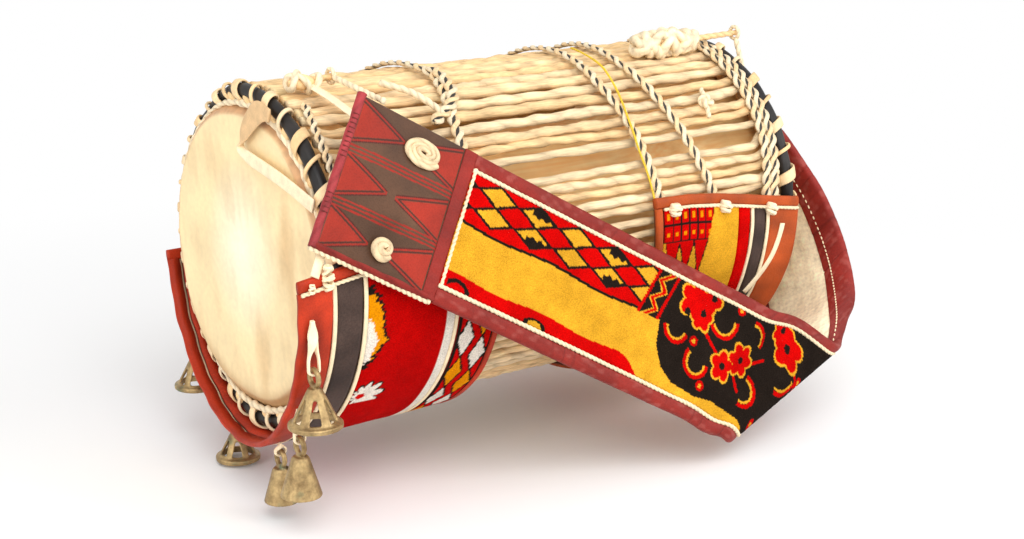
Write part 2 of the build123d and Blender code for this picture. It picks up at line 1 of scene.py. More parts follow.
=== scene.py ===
import bpy
import numpy as np
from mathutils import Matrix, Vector


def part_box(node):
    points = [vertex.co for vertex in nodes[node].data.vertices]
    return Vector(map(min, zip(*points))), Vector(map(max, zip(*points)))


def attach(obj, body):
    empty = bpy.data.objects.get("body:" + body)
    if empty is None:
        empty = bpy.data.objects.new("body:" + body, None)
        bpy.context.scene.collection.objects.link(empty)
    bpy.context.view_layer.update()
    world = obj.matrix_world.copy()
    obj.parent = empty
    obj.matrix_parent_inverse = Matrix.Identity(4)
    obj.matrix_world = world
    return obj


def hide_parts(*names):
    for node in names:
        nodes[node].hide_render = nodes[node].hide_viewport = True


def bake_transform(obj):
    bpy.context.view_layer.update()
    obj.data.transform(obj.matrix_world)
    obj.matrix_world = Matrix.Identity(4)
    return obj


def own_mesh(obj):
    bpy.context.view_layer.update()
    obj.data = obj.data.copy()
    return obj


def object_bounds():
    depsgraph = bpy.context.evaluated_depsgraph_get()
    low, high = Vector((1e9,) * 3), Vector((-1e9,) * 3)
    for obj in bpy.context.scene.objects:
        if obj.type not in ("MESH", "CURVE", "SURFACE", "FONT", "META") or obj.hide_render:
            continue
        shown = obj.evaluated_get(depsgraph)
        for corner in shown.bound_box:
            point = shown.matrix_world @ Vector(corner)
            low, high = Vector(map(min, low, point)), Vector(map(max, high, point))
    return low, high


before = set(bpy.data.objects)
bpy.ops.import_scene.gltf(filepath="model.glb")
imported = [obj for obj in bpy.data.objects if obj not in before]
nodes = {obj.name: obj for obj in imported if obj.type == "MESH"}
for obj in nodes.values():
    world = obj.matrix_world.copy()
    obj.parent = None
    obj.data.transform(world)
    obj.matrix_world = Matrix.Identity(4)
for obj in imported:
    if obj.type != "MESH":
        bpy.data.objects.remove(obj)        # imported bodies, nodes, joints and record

cadLow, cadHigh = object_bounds()
mm = 0.001               # every size below is in millimetres
print("frame loaded,", len(nodes), "nodes")

ringLow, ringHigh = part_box("ring_near")
hemLow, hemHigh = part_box("hem_lacing_near")
drum = {
    "axisZ": (ringLow.z + ringHigh.z) / 2 / mm,
    "half": -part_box("head_near_skin")[0].x / mm,
    "ringX": -(ringLow.x + ringHigh.x) / 2 / mm,
    "ringBar": (ringHigh.x - ringLow.x) / 2 / mm,
    "hemX": -(hemLow.x + hemHigh.x) / 2 / mm,
    "hemBar": (hemHigh.x - hemLow.x) / 2 / mm,
    "cordEnd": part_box("tension_cords_top")[1].x / mm,
    "firstPair": 3.0,        # degrees, angle of the first pair of cords
    "pairs": 36,
    "pairHalf": 2.5,         # degrees between a pair's middle and each cord
    "cordRadius": 3.1,
    "apronTop": 5.0,         # degrees, where both aprons end at the front
    "apronThick": 3.0,
}
drum["ring"] = (ringHigh.z - ringLow.z) / 2 / mm - drum["ringBar"]
drum["hem"] = (hemHigh.z - hemLow.z) / 2 / mm - drum["hemBar"]
drum["apronOut"] = drum["axisZ"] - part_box("apron_far_carpet")[0].z / mm
drum["apronIn"] = drum["apronOut"] - drum["apronThick"]
degree = drum["apronOut"] * np.pi / 180      # length of one degree on the aprons


# Shapes as arrays

def colour(*rgb):        # a colour as seen on screen, as the linear values that shaders use
    c = np.array(rgb, float)
    return np.where(c <= 0.04045, c / 12.92, ((c + 0.055) / 1.055) ** 2.4)


def mix(first, second, share):       # first where share is 0, second where it is 1
    share = np.asarray(share, float)[..., None]
    return first * (1 - share) + second * share


def ease(low, high, value):          # 0 below low, 1 above high, smooth between
    t = np.clip((value - low) / (high - low), 0, 1)
    return t * t * (3 - 2 * t)


def within(span, value):             # rises from 0 to 1 over the first two of span, falls over the last two
    return ease(span[0], span[1], value) * ease(span[3], span[2], value)


def wobble(seed, scale, *coords):    # smooth noise about -1 to 1: six sine waves in random directions
    rng = np.random.default_rng(seed)
    total = 0
    for k in range(6):
        phase = rng.uniform(0, 2 * np.pi)
        total = total + np.sin(phase + sum(rng.normal() * c for c in coords) * (1 + 0.4 * k) / scale)
    return total / 2.6


def onDrum(x, radius, angle):        # x along the axis, radius from it, degrees from the front over the top
    x, radius, a = np.broadcast_arrays(x, radius, np.radians(angle))
    return np.stack([x, -radius * np.cos(a), drum["axisZ"] + radius * np.sin(a)], -1)


def radial(angle):
    a = np.radians(angle)
    return np.stack([0 * a, -np.cos(a), np.sin(a)], -1)


def smoothThrough(points, count):    # natural cubic spline through points, at evenly spaced places
    points = np.asarray(points, float)
    gap = np.maximum(np.linalg.norm(np.diff(points, axis=0), axis=1), 1e-6)
    t = np.r_[0, np.cumsum(gap)]
    n = len(points)
    left, right = np.eye(n), np.zeros_like(points)
    for i in range(1, n - 1):
        left[i, i - 1:i + 2] = gap[i - 1], 2 * (gap[i - 1] + gap[i]), gap[i]
        right[i] = 6 * ((points[i + 1] - points[i]) / gap[i] - (points[i] - points[i - 1]) / gap[i - 1])
    bend = np.linalg.solve(left, right)
    s = np.linspace(0, t[-1], count)
    i = np.clip(np.searchsorted(t, s, "right") - 1, 0, n - 2)
    a, b, g = (t[i + 1] - s)[:, None], (s - t[i])[:, None], gap[i][:, None]
    return (bend[i] * a ** 3 + bend[i + 1] * b ** 3) / (6 * g) \
        + (points[i] / g - bend[i] * g / 6) * a + (points[i + 1] / g - bend[i + 1] * g / 6) * b


def rounded(profile, times=2):       # corner cutting on a closed outline: each corner gives way to two points
    profile = np.asarray(profile, float)
    for _ in range(times):
        after = np.roll(profile, -1, axis=0)
        beside = [0.75 * profile + 0.25 * after, 0.25 * profile + 0.75 * after]
        profile = np.stack(beside, 1).reshape(-1, profile.shape[1])
    return profile


def gridFaces(rows, cols, loop):     # quads between rows of closed sections
    i, j = np.meshgrid(np.arange(rows if loop else rows - 1), np.arange(cols), indexing="ij")
    here, below, beside = i * cols, (i + 1) % rows * cols, (j + 1) % cols
    return np.stack([here + j, here + beside, below + beside, below + j], -1).reshape(-1, 4)


def sweep(sections, tints, loop=False):      # closed sections joined row by row, each end closed by a fan
    rows, cols = sections.shape[:2]
    tints = np.broadcast_to(tints, sections.shape)
    points, shades = sections.reshape(-1, 3), tints.reshape(-1, 3)
    quads = gridFaces(rows, cols, loop)
    if loop:
        return points, [quads], shades
    j = np.arange(cols)
    beside, last, count = (j + 1) % cols, (rows - 1) * cols, len(points)
    start = np.stack([np.full(cols, count), beside, j], -1)
    end = np.stack([np.full(cols, count + 1), last + j, last + beside], -1)
    points = np.concatenate([points, sections[:1].mean(1), sections[-1:].mean(1)])
    shades = np.concatenate([shades, tints[:1].mean(1), tints[-1:].mean(1)])
    return points, [quads, start, end], shades


def join(parts):                     # several shapes as one
    points, faces, shades, offset = [], [], [], 0
    for part in parts:
        points.append(part[0])
        faces += [f + offset for f in part[1]]
        shades.append(part[2])
        offset += len(part[0])
    return np.concatenate(points), faces, np.concatenate(shades)


def frameAlong(path, up, loop=False):        # tangent, the normal nearest to up, and their cross product
    if loop:
        tangent = np.roll(path, -1, 0) - np.roll(path, 1, 0)
    else:
        tangent = np.gradient(path, axis=0)
    tangent = tangent / np.linalg.norm(tangent, axis=1)[:, None]
    up = np.broadcast_to(up, path.shape)
    normal = up - (up * tangent).sum(1)[:, None] * tangent
    normal = normal / np.linalg.norm(normal, axis=1)[:, None]
    return tangent, normal, np.cross(tangent, normal)


def lengthAlong(path):
    return np.r_[0, np.cumsum(np.linalg.norm(np.diff(path, axis=0), axis=1))]


def rope(path, up, radius, pitch, tint, lobes=2, depth=0.2, sides=12, loop=False, seed=0, grooveShade=0.55,
         uneven=0.06):
    # twisted cord: reach = radius (1 - depth + depth |cos(lobes (angle - twist) / 2)|), twist by length
    normal, side = frameAlong(path, up, loop)[1:]
    s = lengthAlong(path)
    if loop:
        total = s[-1] + np.linalg.norm(path[0] - path[-1])
        turn = 2 * np.pi * s / total * round(total / pitch)
    else:
        turn = 2 * np.pi * s / pitch
    around = np.arange(sides) * 2 * np.pi / sides
    ridge = np.abs(np.cos(lobes * (around[None] - turn[:, None]) / 2))
    thick = np.asarray(radius) * (1 + uneven * wobble(seed, 9.0, s))
    reach = (thick[:, None] * (1 - depth + depth * ridge))[..., None]
    sections = path[:, None] + reach * (np.cos(around)[None, :, None] * normal[:, None]
                                        + np.sin(around)[None, :, None] * side[:, None])
    # painted shade: each cord darker in the grooves of its twist, with a random drift in tone along it
    shade = (grooveShade + (1 - grooveShade) * ridge ** 0.45) * (1 + 0.07 * wobble(seed + 1, 14.0, s))[:, None]
    return sweep(sections, tint * shade[..., None], loop)


def ribbon(path, up, halfWidth, halfThick, tint, sides=14, loop=False):
    # flat strip: an oval section, wide across the path and thin along its normal
    normal, side = frameAlong(path, up, loop)[1:]
    around = np.arange(sides) * 2 * np.pi / sides
    wide = np.sign(np.cos(around)) * np.abs(np.cos(around)) ** 0.6
    thin = np.sign(np.sin(around)) * np.abs(np.sin(around)) ** 0.8
    halfWidth = np.broadcast_to(halfWidth, len(path))[:, None, None]
    sections = path[:, None] + halfWidth * wide[None, :, None] * side[:, None] \
        + halfThick * thin[None, :, None] * normal[:, None]
    return sweep(sections, tint, loop)


def plait(path, up, look):           # two strands that cross over and under each other round a dark core
    normal, side = frameAlong(path, up)[1:]
    phase = 2 * np.pi * lengthAlong(path) / look["pitch"]
    thick = look["halfThick"]
    strands = [ribbon(path - 0.3 * normal, normal, look["coreHalf"], thick, look["core"], sides=8)]
    for k, tint in enumerate(look["tints"]):
        sway, lift = np.sin(phase + np.pi * k)[:, None], np.cos(phase + np.pi * k)[:, None]
        line = path + side * look["sway"] * sway + normal * look["lift"] * lift
        # painted shade: each strand darker where it dips under the other
        shade = (0.84 + 0.16 * lift)[..., None]
        strands.append(ribbon(line, normal, look["halfWidth"], thick, tint * shade, sides=8))
    return join(strands)


def beads(centres, ahead, out, size, tint, rings=5, sides=6):    # ovals by half sizes along, across and out
    across = np.cross(ahead, out)
    turn = np.linspace(0.15, np.pi - 0.15, rings)
    around = np.arange(sides) * 2 * np.pi / sides
    parts = []
    for c, a, b, o in zip(centres, ahead, across, out):
        sections = c + size[0] * np.cos(turn)[:, None, None] * a + np.sin(turn)[:, None, None] * (
            size[1] * np.cos(around)[None, :, None] * b + size[2] * np.sin(around)[None, :, None] * o)
        parts.append(sweep(sections, tint))
    return join(parts)


wrap = {"edgeSink": 0.7, "edgeRound": 1.4, "lumps": 0.25, "lumpSize": 16.0, "lining": colour(0.3, 0.2, 0.14)}


def band(edges, angles, shades, puff, step, lining=wrap["lining"]):
    # wrap round the drum: an outline in x and radius carried along the angle, its outer face swelling by puff
    xFrom, xTo = [np.broadcast_to(x, len(angles))[:, None] for x in edges]
    count = max(int(np.max(np.abs(xTo - xFrom)) / step), 6)
    t = np.linspace(0, 1, count)
    x = xFrom + (xTo - xFrom) * t
    arc = (drum["apronTop"] - angles)[:, None] * degree + 0 * x
    edge = np.clip(np.minimum(t, 1 - t) * np.abs(xTo - xFrom) / wrap["edgeRound"], 0, 1)
    swell = drum["apronOut"] - wrap["edgeSink"] + (wrap["edgeSink"] + puff) * np.sqrt(1 - (1 - edge) ** 2)
    outer = onDrum(x, swell + wrap["lumps"] * wobble(3, wrap["lumpSize"], x, arc), angles[:, None])
    inner = onDrum(x[:, ::-count + 1], drum["apronIn"], angles[:, None])
    backing = np.broadcast_to(lining, (len(angles), 2, 3))
    return sweep(np.concatenate([outer, inner], 1), np.concatenate([shades(x, arc), backing], 1))


def plain(tint, seed, spread):       # one colour that drifts a little over the surface
    def shades(x, arc):
        return tint * (1 + spread * wobble(seed, 13.0, x, arc))[..., None]
    return shades


def signedVolume(points, faces):     # six times the volume, below 0 where the faces point inwards
    total = 0
    for f in faces:
        p = points[f]
        for k in range(1, f.shape[1] - 1):
            total += np.einsum("ij,ij->", p[:, 0], np.cross(p[:, k], p[:, k + 1]))
    return total


def makePiece(name, part, finishName, body, replaced=(), slot=None):
    points, faces, shades = part
    if signedVolume(points - points.mean(0), faces) < 0:
        faces = [f[:, ::-1] for f in faces]
    corners = np.concatenate([f.ravel() for f in faces])
    sizes = np.concatenate([np.full(len(f), f.shape[1]) for f in faces])
    mesh = bpy.data.meshes.new(name)
    mesh.vertices.add(len(points))
    mesh.loops.add(len(corners))
    mesh.polygons.add(len(sizes))
    mesh.vertices.foreach_set("co", (points * mm).astype(np.float32).ravel())
    mesh.loops.foreach_set("vertex_index", corners.astype(np.int32))
    mesh.polygons.foreach_set("loop_start", (np.cumsum(sizes) - sizes).astype(np.int32))
    mesh.polygons.foreach_set("use_smooth", np.ones(len(sizes), bool))
    rgba = np.c_[np.clip(shades, 0, 1), np.ones(len(points))]
    tint = mesh.attributes.new("tint", "FLOAT_COLOR", "POINT")
    tint.data.foreach_set("color", rgba.astype(np.float32).ravel())
    mesh.update(calc_edges=True)
    mesh.validate()
    mesh.materials.append(finished[finishName])
    piece = bpy.data.objects.new(name, mesh)
    bpy.context.scene.collection.objects.link(piece)
    if body:
        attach(piece, body)
    if replaced:
        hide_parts(*replaced)
    print(" ", name, len(points), "points")
    return piece


# Colours and finishes

seenColours = {
    "hide": (0.965, 0.865, 0.665), "hideLight": (1.0, 0.965, 0.86), "hideBrown": (0.78, 0.61, 0.4),
    "hideEdge": (0.8, 0.6, 0.42), "rawhide": (1.0, 0.84, 0.61), "thong": (1.0, 0.915, 0.765),
    "black": (0.19, 0.17, 0.16), "bandBlack": (0.25, 0.19, 0.165), "strandBlack": (0.17, 0.15, 0.13),
    "yellowThread": (0.95, 0.8, 0.18), "redLeather": (0.7, 0.2, 0.09), "brownLeather": (0.68, 0.29, 0.11),
    "bindingRed": (0.53, 0.15, 0.12), "bindingWearAndHighlight": (0.72, 0.42, 0.38), "panelBrown": (0.345, 0.236, 0.17),
    "panelRed": (0.61, 0.17, 0.11), "panelLine": (0.29, 0.12, 0.09), "panelStroke": (0.6, 0.15, 0.1),
    "rollPink": (0.62, 0.22, 0.23), "pileRed": (0.83, 0.02, 0.015), "pileYellow": (0.92, 0.67, 0.17),
    "pileBlack": (0.14, 0.11, 0.09), "pileWhite": (0.97, 0.93, 0.87), "pileOrange": (0.96, 0.6, 0.02),
    "pileBack": (0.35, 0.22, 0.15), "suede": (1.0, 0.92, 0.78), "piping": (0.97, 0.885, 0.73),
}
paint = {name: colour(*rgb) for name, rgb in seenColours.items()}


def makeNode(tree, kind, **settings):        # a new node with its sockets and properties set by name
    node = tree.nodes.new(kind)
    for key, value in settings.items():
        if key in node.inputs:
            node.inputs[key].default_value = value
        else:
            setattr(node, key, value)
    return node


def mixColours(tree, share, first, second, kind="MIX"):      # each of the three is a socket or a value
    node = makeNode(tree, "ShaderNodeMix", data_type="RGBA", blend_type=kind)
    for socket, value in zip((0, 6, 7), (share, first, second)):
        if isinstance(value, bpy.types.NodeSocket):
            tree.links.new(value, node.inputs[socket])
        else:
            node.inputs[socket].default_value = value
    return node.outputs[2]


def spreadLevel(tree, level, span, ends):    # a level between the two of span becomes one between the ends
    spread = makeNode(tree, "ShaderNodeMapRange", **{"From Min": span[0], "From Max": span[1],
                                                     "To Min": ends[0], "To Max": ends[1]})
    tree.links.new(level, spread.inputs["Value"])
    return spread.outputs["Result"]


def finish(name, look):      # tint attribute or two base colours, darkened and raised by layers of texture
    material = bpy.data.materials.new(name)
    material.use_nodes = True
    tree = material.node_tree
    shader = tree.nodes["Principled BSDF"]
    for socket, value in look.get("sockets", {}).items():
        shader.inputs[socket].default_value = value
    place = tree.nodes.new("ShaderNodeTexCoord").outputs["Object"]
    base, normal, rough = None, None, None
    if "base" not in look:
        base = makeNode(tree, "ShaderNodeAttribute", attribute_name="tint").outputs["Color"]
    for layer in look["layers"]:
        mapping = makeNode(tree, "ShaderNodeMapping", Scale=np.broadcast_to(layer["scale"], 3).tolist())
        tree.links.new(place, mapping.inputs["Vector"])
        if "detail" in layer:
            texture = makeNode(tree, "ShaderNodeTexNoise", Scale=1.0, Detail=layer["detail"])
            level = texture.outputs["Fac"]
        else:                    # cells
            texture = makeNode(tree, "ShaderNodeTexVoronoi", Scale=1.0)
            level = texture.outputs["Distance"]
        tree.links.new(mapping.outputs["Vector"], texture.inputs["Vector"])
        share = spreadLevel(tree, level, layer.get("span", (0.3, 0.7)), layer.get("shade", (0.0, 1.0)))
        if base is None:
            base = mixColours(tree, share, (*look["base"][0], 1), (*look["base"][1], 1))
        elif "patch" in layer:
            base = mixColours(tree, share, base, (*layer["patch"], 1))
        else:
            base = mixColours(tree, 1.0, base, share, "MULTIPLY")
        if rough is None:
            rough = spreadLevel(tree, level, (0.0, 1.0), look["rough"])
            tree.links.new(rough, shader.inputs["Roughness"])
        if "bump" in layer:
            bump = makeNode(tree, "ShaderNodeBump", Distance=layer["bump"][0], Strength=layer["bump"][1])
            tree.links.new(level, bump.inputs["Height"])
            if normal is not None:
                tree.links.new(normal, bump.inputs["Normal"])
            normal = bump.outputs["Normal"]
    tree.links.new(base, shader.inputs["Base Color"])
    tree.links.new(normal, shader.inputs["Normal"])
    return material


finishes = {     # a layer: scale, detail of noise or else cells, shades from and to, bump and its strength
    "skinHide": {"rough": (0.42, 0.6), "layers": [
        {"scale": 28, "detail": 5, "shade": (0.88, 1.04), "bump": (0.0006, 0.25)},
        {"scale": 260, "detail": 4, "shade": (0.94, 1.03), "bump": (0.0002, 0.3)}]},
    "rawhideCord": {"rough": (0.55, 0.75), "sockets": {"Specular IOR Level": 0.3}, "layers": [
        {"scale": (70, 900, 900), "detail": 4, "shade": (0.72, 1.08), "bump": (0.0005, 0.6)},
        {"scale": 90, "detail": 3, "shade": (0.85, 1.06)}]},
    "creamThong": {"rough": (0.5, 0.7), "sockets": {"Specular IOR Level": 0.35}, "layers": [
        {"scale": 180, "detail": 4, "shade": (0.84, 1.05), "bump": (0.0003, 0.4)},
        {"scale": 900, "detail": 2, "shade": (0.93, 1.03), "bump": (0.0001, 0.4)}]},
    "braidStrand": {"rough": (0.55, 0.75), "layers": [
        {"scale": 700, "detail": 3, "shade": (0.75, 1.08), "bump": (0.0002, 0.5)}]},
    "carpetPile": {"rough": (0.85, 1.0), "sockets": {"Specular IOR Level": 0.03}, "layers": [
        # cells: painted shade between the tufts, each tuft paler in its middle
        {"scale": 1150, "span": (0.0, 0.7), "shade": (1.08, 0.72), "bump": (0.0007, 0.7)},
        {"scale": 120, "detail": 4, "shade": (0.88, 1.08), "bump": (0.0008, 0.3)}]},
    "wornLeather": {"rough": (0.38, 0.62), "sockets": {"Specular IOR Level": 0.18}, "layers": [
        {"scale": 45, "detail": 6, "shade": (0.72, 1.12), "bump": (0.0005, 0.25)},
        {"scale": 900, "span": (0.0, 0.6), "shade": (0.86, 1.06), "bump": (0.0002, 0.5)}]},
    "blackHide": {"rough": (0.4, 0.65), "sockets": {"Specular IOR Level": 0.18}, "layers": [
        {"scale": 60, "detail": 6, "shade": (0.75, 1.3), "bump": (0.0004, 0.35)},
        {"scale": 900, "detail": 3, "shade": (0.8, 1.2), "bump": (0.0002, 0.4)}]},
    "ringHide": {"rough": (0.35, 0.55), "sockets": {"Specular IOR Level": 0.3}, "layers": [
        {"scale": 90, "detail": 5, "shade": (0.6, 1.5), "bump": (0.0004, 0.3)}]},
    "paleSuede": {"rough": (0.9, 1.0), "sockets": {"Sheen Weight": 0.1, "Specular IOR Level": 0.15},
                  "layers": [
        {"scale": 75, "detail": 6, "shade": (0.88, 1.06), "bump": (0.002, 0.6)},
        {"scale": 650, "detail": 4, "shade": (0.88, 1.05), "bump": (0.0004, 0.6)}]},
    "shellWood": {"rough": (0.5, 0.7), "base": (colour(0.96, 0.72, 0.43), colour(1.0, 0.87, 0.62)),
                  "layers": [
        {"scale": (14, 260, 260), "detail": 5, "bump": (0.0004, 0.3)},
        {"scale": 35, "detail": 4, "shade": (0.85, 1.1)}]},
    "agedBrass": {"rough": (0.34, 0.58), "base": (colour(0.5, 0.4, 0.26), colour(0.77, 0.66, 0.46)),
                  "sockets": {"Metallic": 0.72}, "layers": [
        {"scale": 110, "detail": 6, "bump": (0.0006, 0.45)},
        {"scale": 75, "detail": 4, "span": (0.58, 0.72), "patch": colour(0.36, 0.45, 0.36)},
        {"scale": 600, "detail": 3, "shade": (0.75, 1.12), "bump": (0.0002, 0.5)}]},
    "darkIron": {"rough": (0.5, 0.7), "base": (colour(0.2, 0.17, 0.15), colour(0.34, 0.28, 0.24)),
                 "sockets": {"Metallic": 0.6}, "layers": [
        {"scale": 300, "detail": 4, "bump": (0.0002, 0.5)}]},
    "hoopWood": {"rough": (0.55, 0.7), "base": (colour(0.6, 0.45, 0.28), colour(0.78, 0.6, 0.4)), "layers": [
        {"scale": 150, "detail": 4, "bump": (0.0003, 0.4)}]},
}
finished = {name: finish(name, look) for name, look in finishes.items()}
print("finishes made:", len(finished))


# Carried-over solids: the wooden shell, the hoops under the skins, bells and clappers

def recoat(node, finishName):
    nodes[node].data.materials.clear()
    nodes[node].data.materials.append(finished[finishName])


bellCast = {"weld": 0.02 * mm, "voxel": 0.55 * mm, "smooth": 5}      # softens the bells as a rough casting


def castBell(node):
    recoat(node, "agedBrass")
    weld = nodes[node].modifiers.new("weld", "WELD")
    weld.merge_threshold = bellCast["weld"]
    remesh = nodes[node].modifiers.new("cast", "REMESH")
    remesh.mode = "VOXEL"
    remesh.voxel_size = bellCast["voxel"]
    remesh.use_smooth_shade = True
    smooth = nodes[node].modifiers.new("soften", "SMOOTH")
    smooth.iterations = bellCast["smooth"]


recoat("shell", "shellWood")
for end in ("near", "far"):
    recoat(f"flesh_hoop_{end}", "hoopWood")
for place in ("front_cage", "front_cone", "low_cone", "low_cage", "back_cage"):
    castBell(f"bell_{place}")
for place in ("front_cone", "low_cone"):
    recoat(f"clapper_{place}", "darkIron")
print("shell, hoops and bells finished")


# Heads: stained hide over the rim, hem lacing, black ring and thong loops

head = {
    "flat": 89.0, "slopeOut": 95.5, "slopeDepth": 5.5, "thick": 1.0, "columns": 240, "ripple": 0.5,
    "tuckFrom": 88.0, "tuckTo": 128.0,       # degrees over which the ring tucks in behind the head
    "skinTuck": 2.4, "hemTuck": -0.4, "hemThin": 0.5, "hemBack": 1.4,
    "ringTuck": 4.2, "ringBack": 4.0, "barTuck": 0.3,
    "hemPitch": 17.0, "lacingRise": 3.2, "lacingSize": (4.8, 2.4, 2.5),
    # stains: place from the axis, half sizes and strength
    "stains": (((-52, 18), (13, 52), 0.5), ((-20, -60), (11, 34), 0.45), ((-62, -20), (10, 30), 0.4),
               ((30, 55), (26, 20), 0.18)),
}


def tuck(angle):             # 1 at the back of the drum, 0 from the front over the top
    fromBack = np.abs(np.mod(angle, 360) - 180)
    return ease(180 - head["tuckFrom"], 180 - head["tuckTo"], fromBack)


def headSkin(side):          # rings of points from the back's middle out over the edge and in over the face
    flat, slopeOut = head["flat"], head["slopeOut"]
    reach = np.r_[np.linspace(2, 70, 18), np.linspace(73, flat, 16), np.linspace(90, slopeOut, 8)]
    depth = np.interp(reach, [0, flat, slopeOut], [0, 0, head["slopeDepth"]])
    radius = np.r_[reach, reach[::-1]]
    depth = np.r_[depth + head["thick"], depth[::-1]]
    angle = np.arange(head["columns"]) * 360 / head["columns"]
    spread = radius[:, None] + head["skinTuck"] * tuck(angle) * ease(60, flat, radius)[:, None]
    y, z = -spread * np.cos(np.radians(angle)), spread * np.sin(np.radians(angle))
    ripple = head["ripple"] * ease(84, 95, radius)[:, None] * wobble(11, 5.0, angle[None] * 0.9 + 0 * y)
    x = side * (drum["half"] - depth[:, None] + ripple)
    pale = np.clip(0.95 - np.hypot(y - 4, (z - 4) * 0.8) / 50, 0, 1)         # paler towards the middle
    tint = mix(paint["hide"], paint["hideLight"], pale)
    smear = ease(0.1, 1.1, wobble(4, 15.0, y * 1.8, z * 0.5))
    tint = mix(tint, paint["hideBrown"], 0.16 * smear)
    for (middleY, middleZ), (halfY, halfZ), strength in head["stains"]:
        away = np.hypot((y - middleY) / halfY, (z - middleZ) / halfZ) + 0.25 * wobble(7, 9.0, y, z * 0.4)
        tint = mix(tint, paint["hideBrown"], strength * ease(1.15, 0.1, away))
    rim = ease(87.5, 90.5, radius[:, None] + 0.8 * wobble(6, 22.0, y, z))
    tint = mix(tint, paint["hideEdge"] * (1 + 0.12 * wobble(8, 3.0, y, z))[..., None], 0.9 * rim)
    low = ease(80, 92, np.hypot(y, z)) * ease(-45, -85, z)
    tint = mix(tint, paint["hideBrown"] * 0.85, 0.75 * low)
    return sweep(np.stack([x, y, drum["axisZ"] + z], -1), tint)


def hemLacing(side):         # twisted rope whose thickness swells, with a knot of lacing beside each gap
    pairs, count = drum["pairs"], 900
    angle = np.arange(count) * 360 / count
    away = tuck(angle)
    path = onDrum(side * (drum["hemX"] - head["hemBack"] * away), drum["hem"] + head["hemTuck"] * away, angle)
    thick = drum["hemBar"] * (0.98 + 0.16 * np.cos(np.radians(angle * pairs))) * (1 - head["hemThin"] * away)
    roll = rope(path, radial(angle), thick, head["hemPitch"], paint["thong"] * 0.95, depth=0.3, loop=True,
                seed=21)
    rng = np.random.default_rng(22)
    spots = drum["firstPair"] + 5 + np.arange(pairs) * 360 / pairs + rng.uniform(-1.2, 1.2, pairs)
    spots = spots[tuck(spots) < 0.3]
    centres = onDrum(side * (drum["hemX"] - 0.4), drum["hem"] + head["lacingRise"], spots)
    ahead = np.cross(radial(spots), [1.0, 0, 0]) + 0.5 * radial(spots)
    ahead = ahead / np.linalg.norm(ahead, axis=1)[:, None]
    out = np.broadcast_to([1.0 * side, 0, 0], ahead.shape)
    lacing = beads(centres, ahead, out, head["lacingSize"], paint["rawhide"] * 0.92, rings=9, sides=10)
    return join([roll, lacing])


def ringLine(angle, side):   # the ring's bar: place along X, circle and half thickness, tucked in at the back
    away = tuck(angle)
    return side * (drum["ringX"] - head["ringBack"] * away), drum["ring"] - head["ringTuck"] * away, \
        drum["ringBar"] * (1 - head["barTuck"] * away)


def blackRing(side):         # wrapped bar that swells between the loops
    count, sides = 720, 20
    angle = np.arange(count) * 360 / count
    around = np.arange(sides) * 2 * np.pi / sides
    place, circle, bar = ringLine(angle, side)
    swell = bar * (0.98 + 0.06 * np.cos(np.radians(drum["pairs"] / 2 * (angle - drum["firstPair"] - 10))))
    swell = swell * (1 + 0.025 * wobble(31, 4.0, angle))
    reach = circle[:, None] + swell[:, None] * np.cos(around)
    sections = onDrum(place[:, None] - side * swell[:, None] * np.sin(around), reach, angle[:, None])
    tint = paint["black"] * 0.55 * (1 + 0.3 * wobble(33, 9.0, angle))[:, None, None]
    return sweep(sections, tint, loop=True)


ringLoop = {"from": -150.0, "to": 118.0, "lean": 3.2, "halfWidth": 3.5, "thinHalf": 1.5, "halfThick": 0.9,
            "gap": 0.4}


def ringLoops(side):         # strips wound once over the bar, leaning along the ring, every second one narrow
    rng = np.random.default_rng(41)
    beta = np.radians(np.linspace(ringLoop["from"], ringLoop["to"], 26))
    t = np.linspace(-1, 1, 26)
    strips = []
    for pair in range(drum["pairs"]):
        lean = ringLoop["lean"] * rng.uniform(0.75, 1.25)
        angle = drum["firstPair"] + pair * 360 / drum["pairs"] + rng.uniform(-1, 1) - lean * t * side
        place, circle, bar = ringLine(angle, side)
        bar = bar * 1.04 + ringLoop["gap"] + ringLoop["halfThick"] + 0.3 * rng.uniform()
        path = onDrum(place - side * bar * np.sin(beta), circle + bar * np.cos(beta), angle)
        out = onDrum(place - 2 * side * bar * np.sin(beta), circle + 2 * bar * np.cos(beta), angle)
        tint = mix(paint["thong"], paint["rawhide"], rng.uniform()) * rng.uniform(0.82, 1.0)
        half = ringLoop["halfWidth"] if pair % 2 else ringLoop["thinHalf"]
        width = half * rng.uniform(0.85, 1.15) * (1 - 0.25 * np.abs(t) ** 3)
        strips.append(ribbon(path, out - path, width, ringLoop["halfThick"], tint, sides=10))
    return join(strips)


headPieces = (   # piece, shape, finish, node and slot
    ("skin_{}", headSkin, "skinHide", "head_{}_skin", "skin"),
    ("hem_{}", hemLacing, "creamThong", "hem_lacing_{}", "hem"),
    ("black_ring_{}", blackRing, "ringHide", "ring_{}", "ring_black"),
    ("thong_loops_{}", ringLoops, "creamThong", "ring_loops_{}", "rawhide"),
)
for side, end in ((-1, "near"), (1, "far")):
    for name, shape, finishName, node, slot in headPieces:
        makePiece(name.format(end), shape(side), finishName, "drum", [node.format(end)], slot)
print("heads and rings finished")


# Tension cords: twisted rawhide from ring to ring

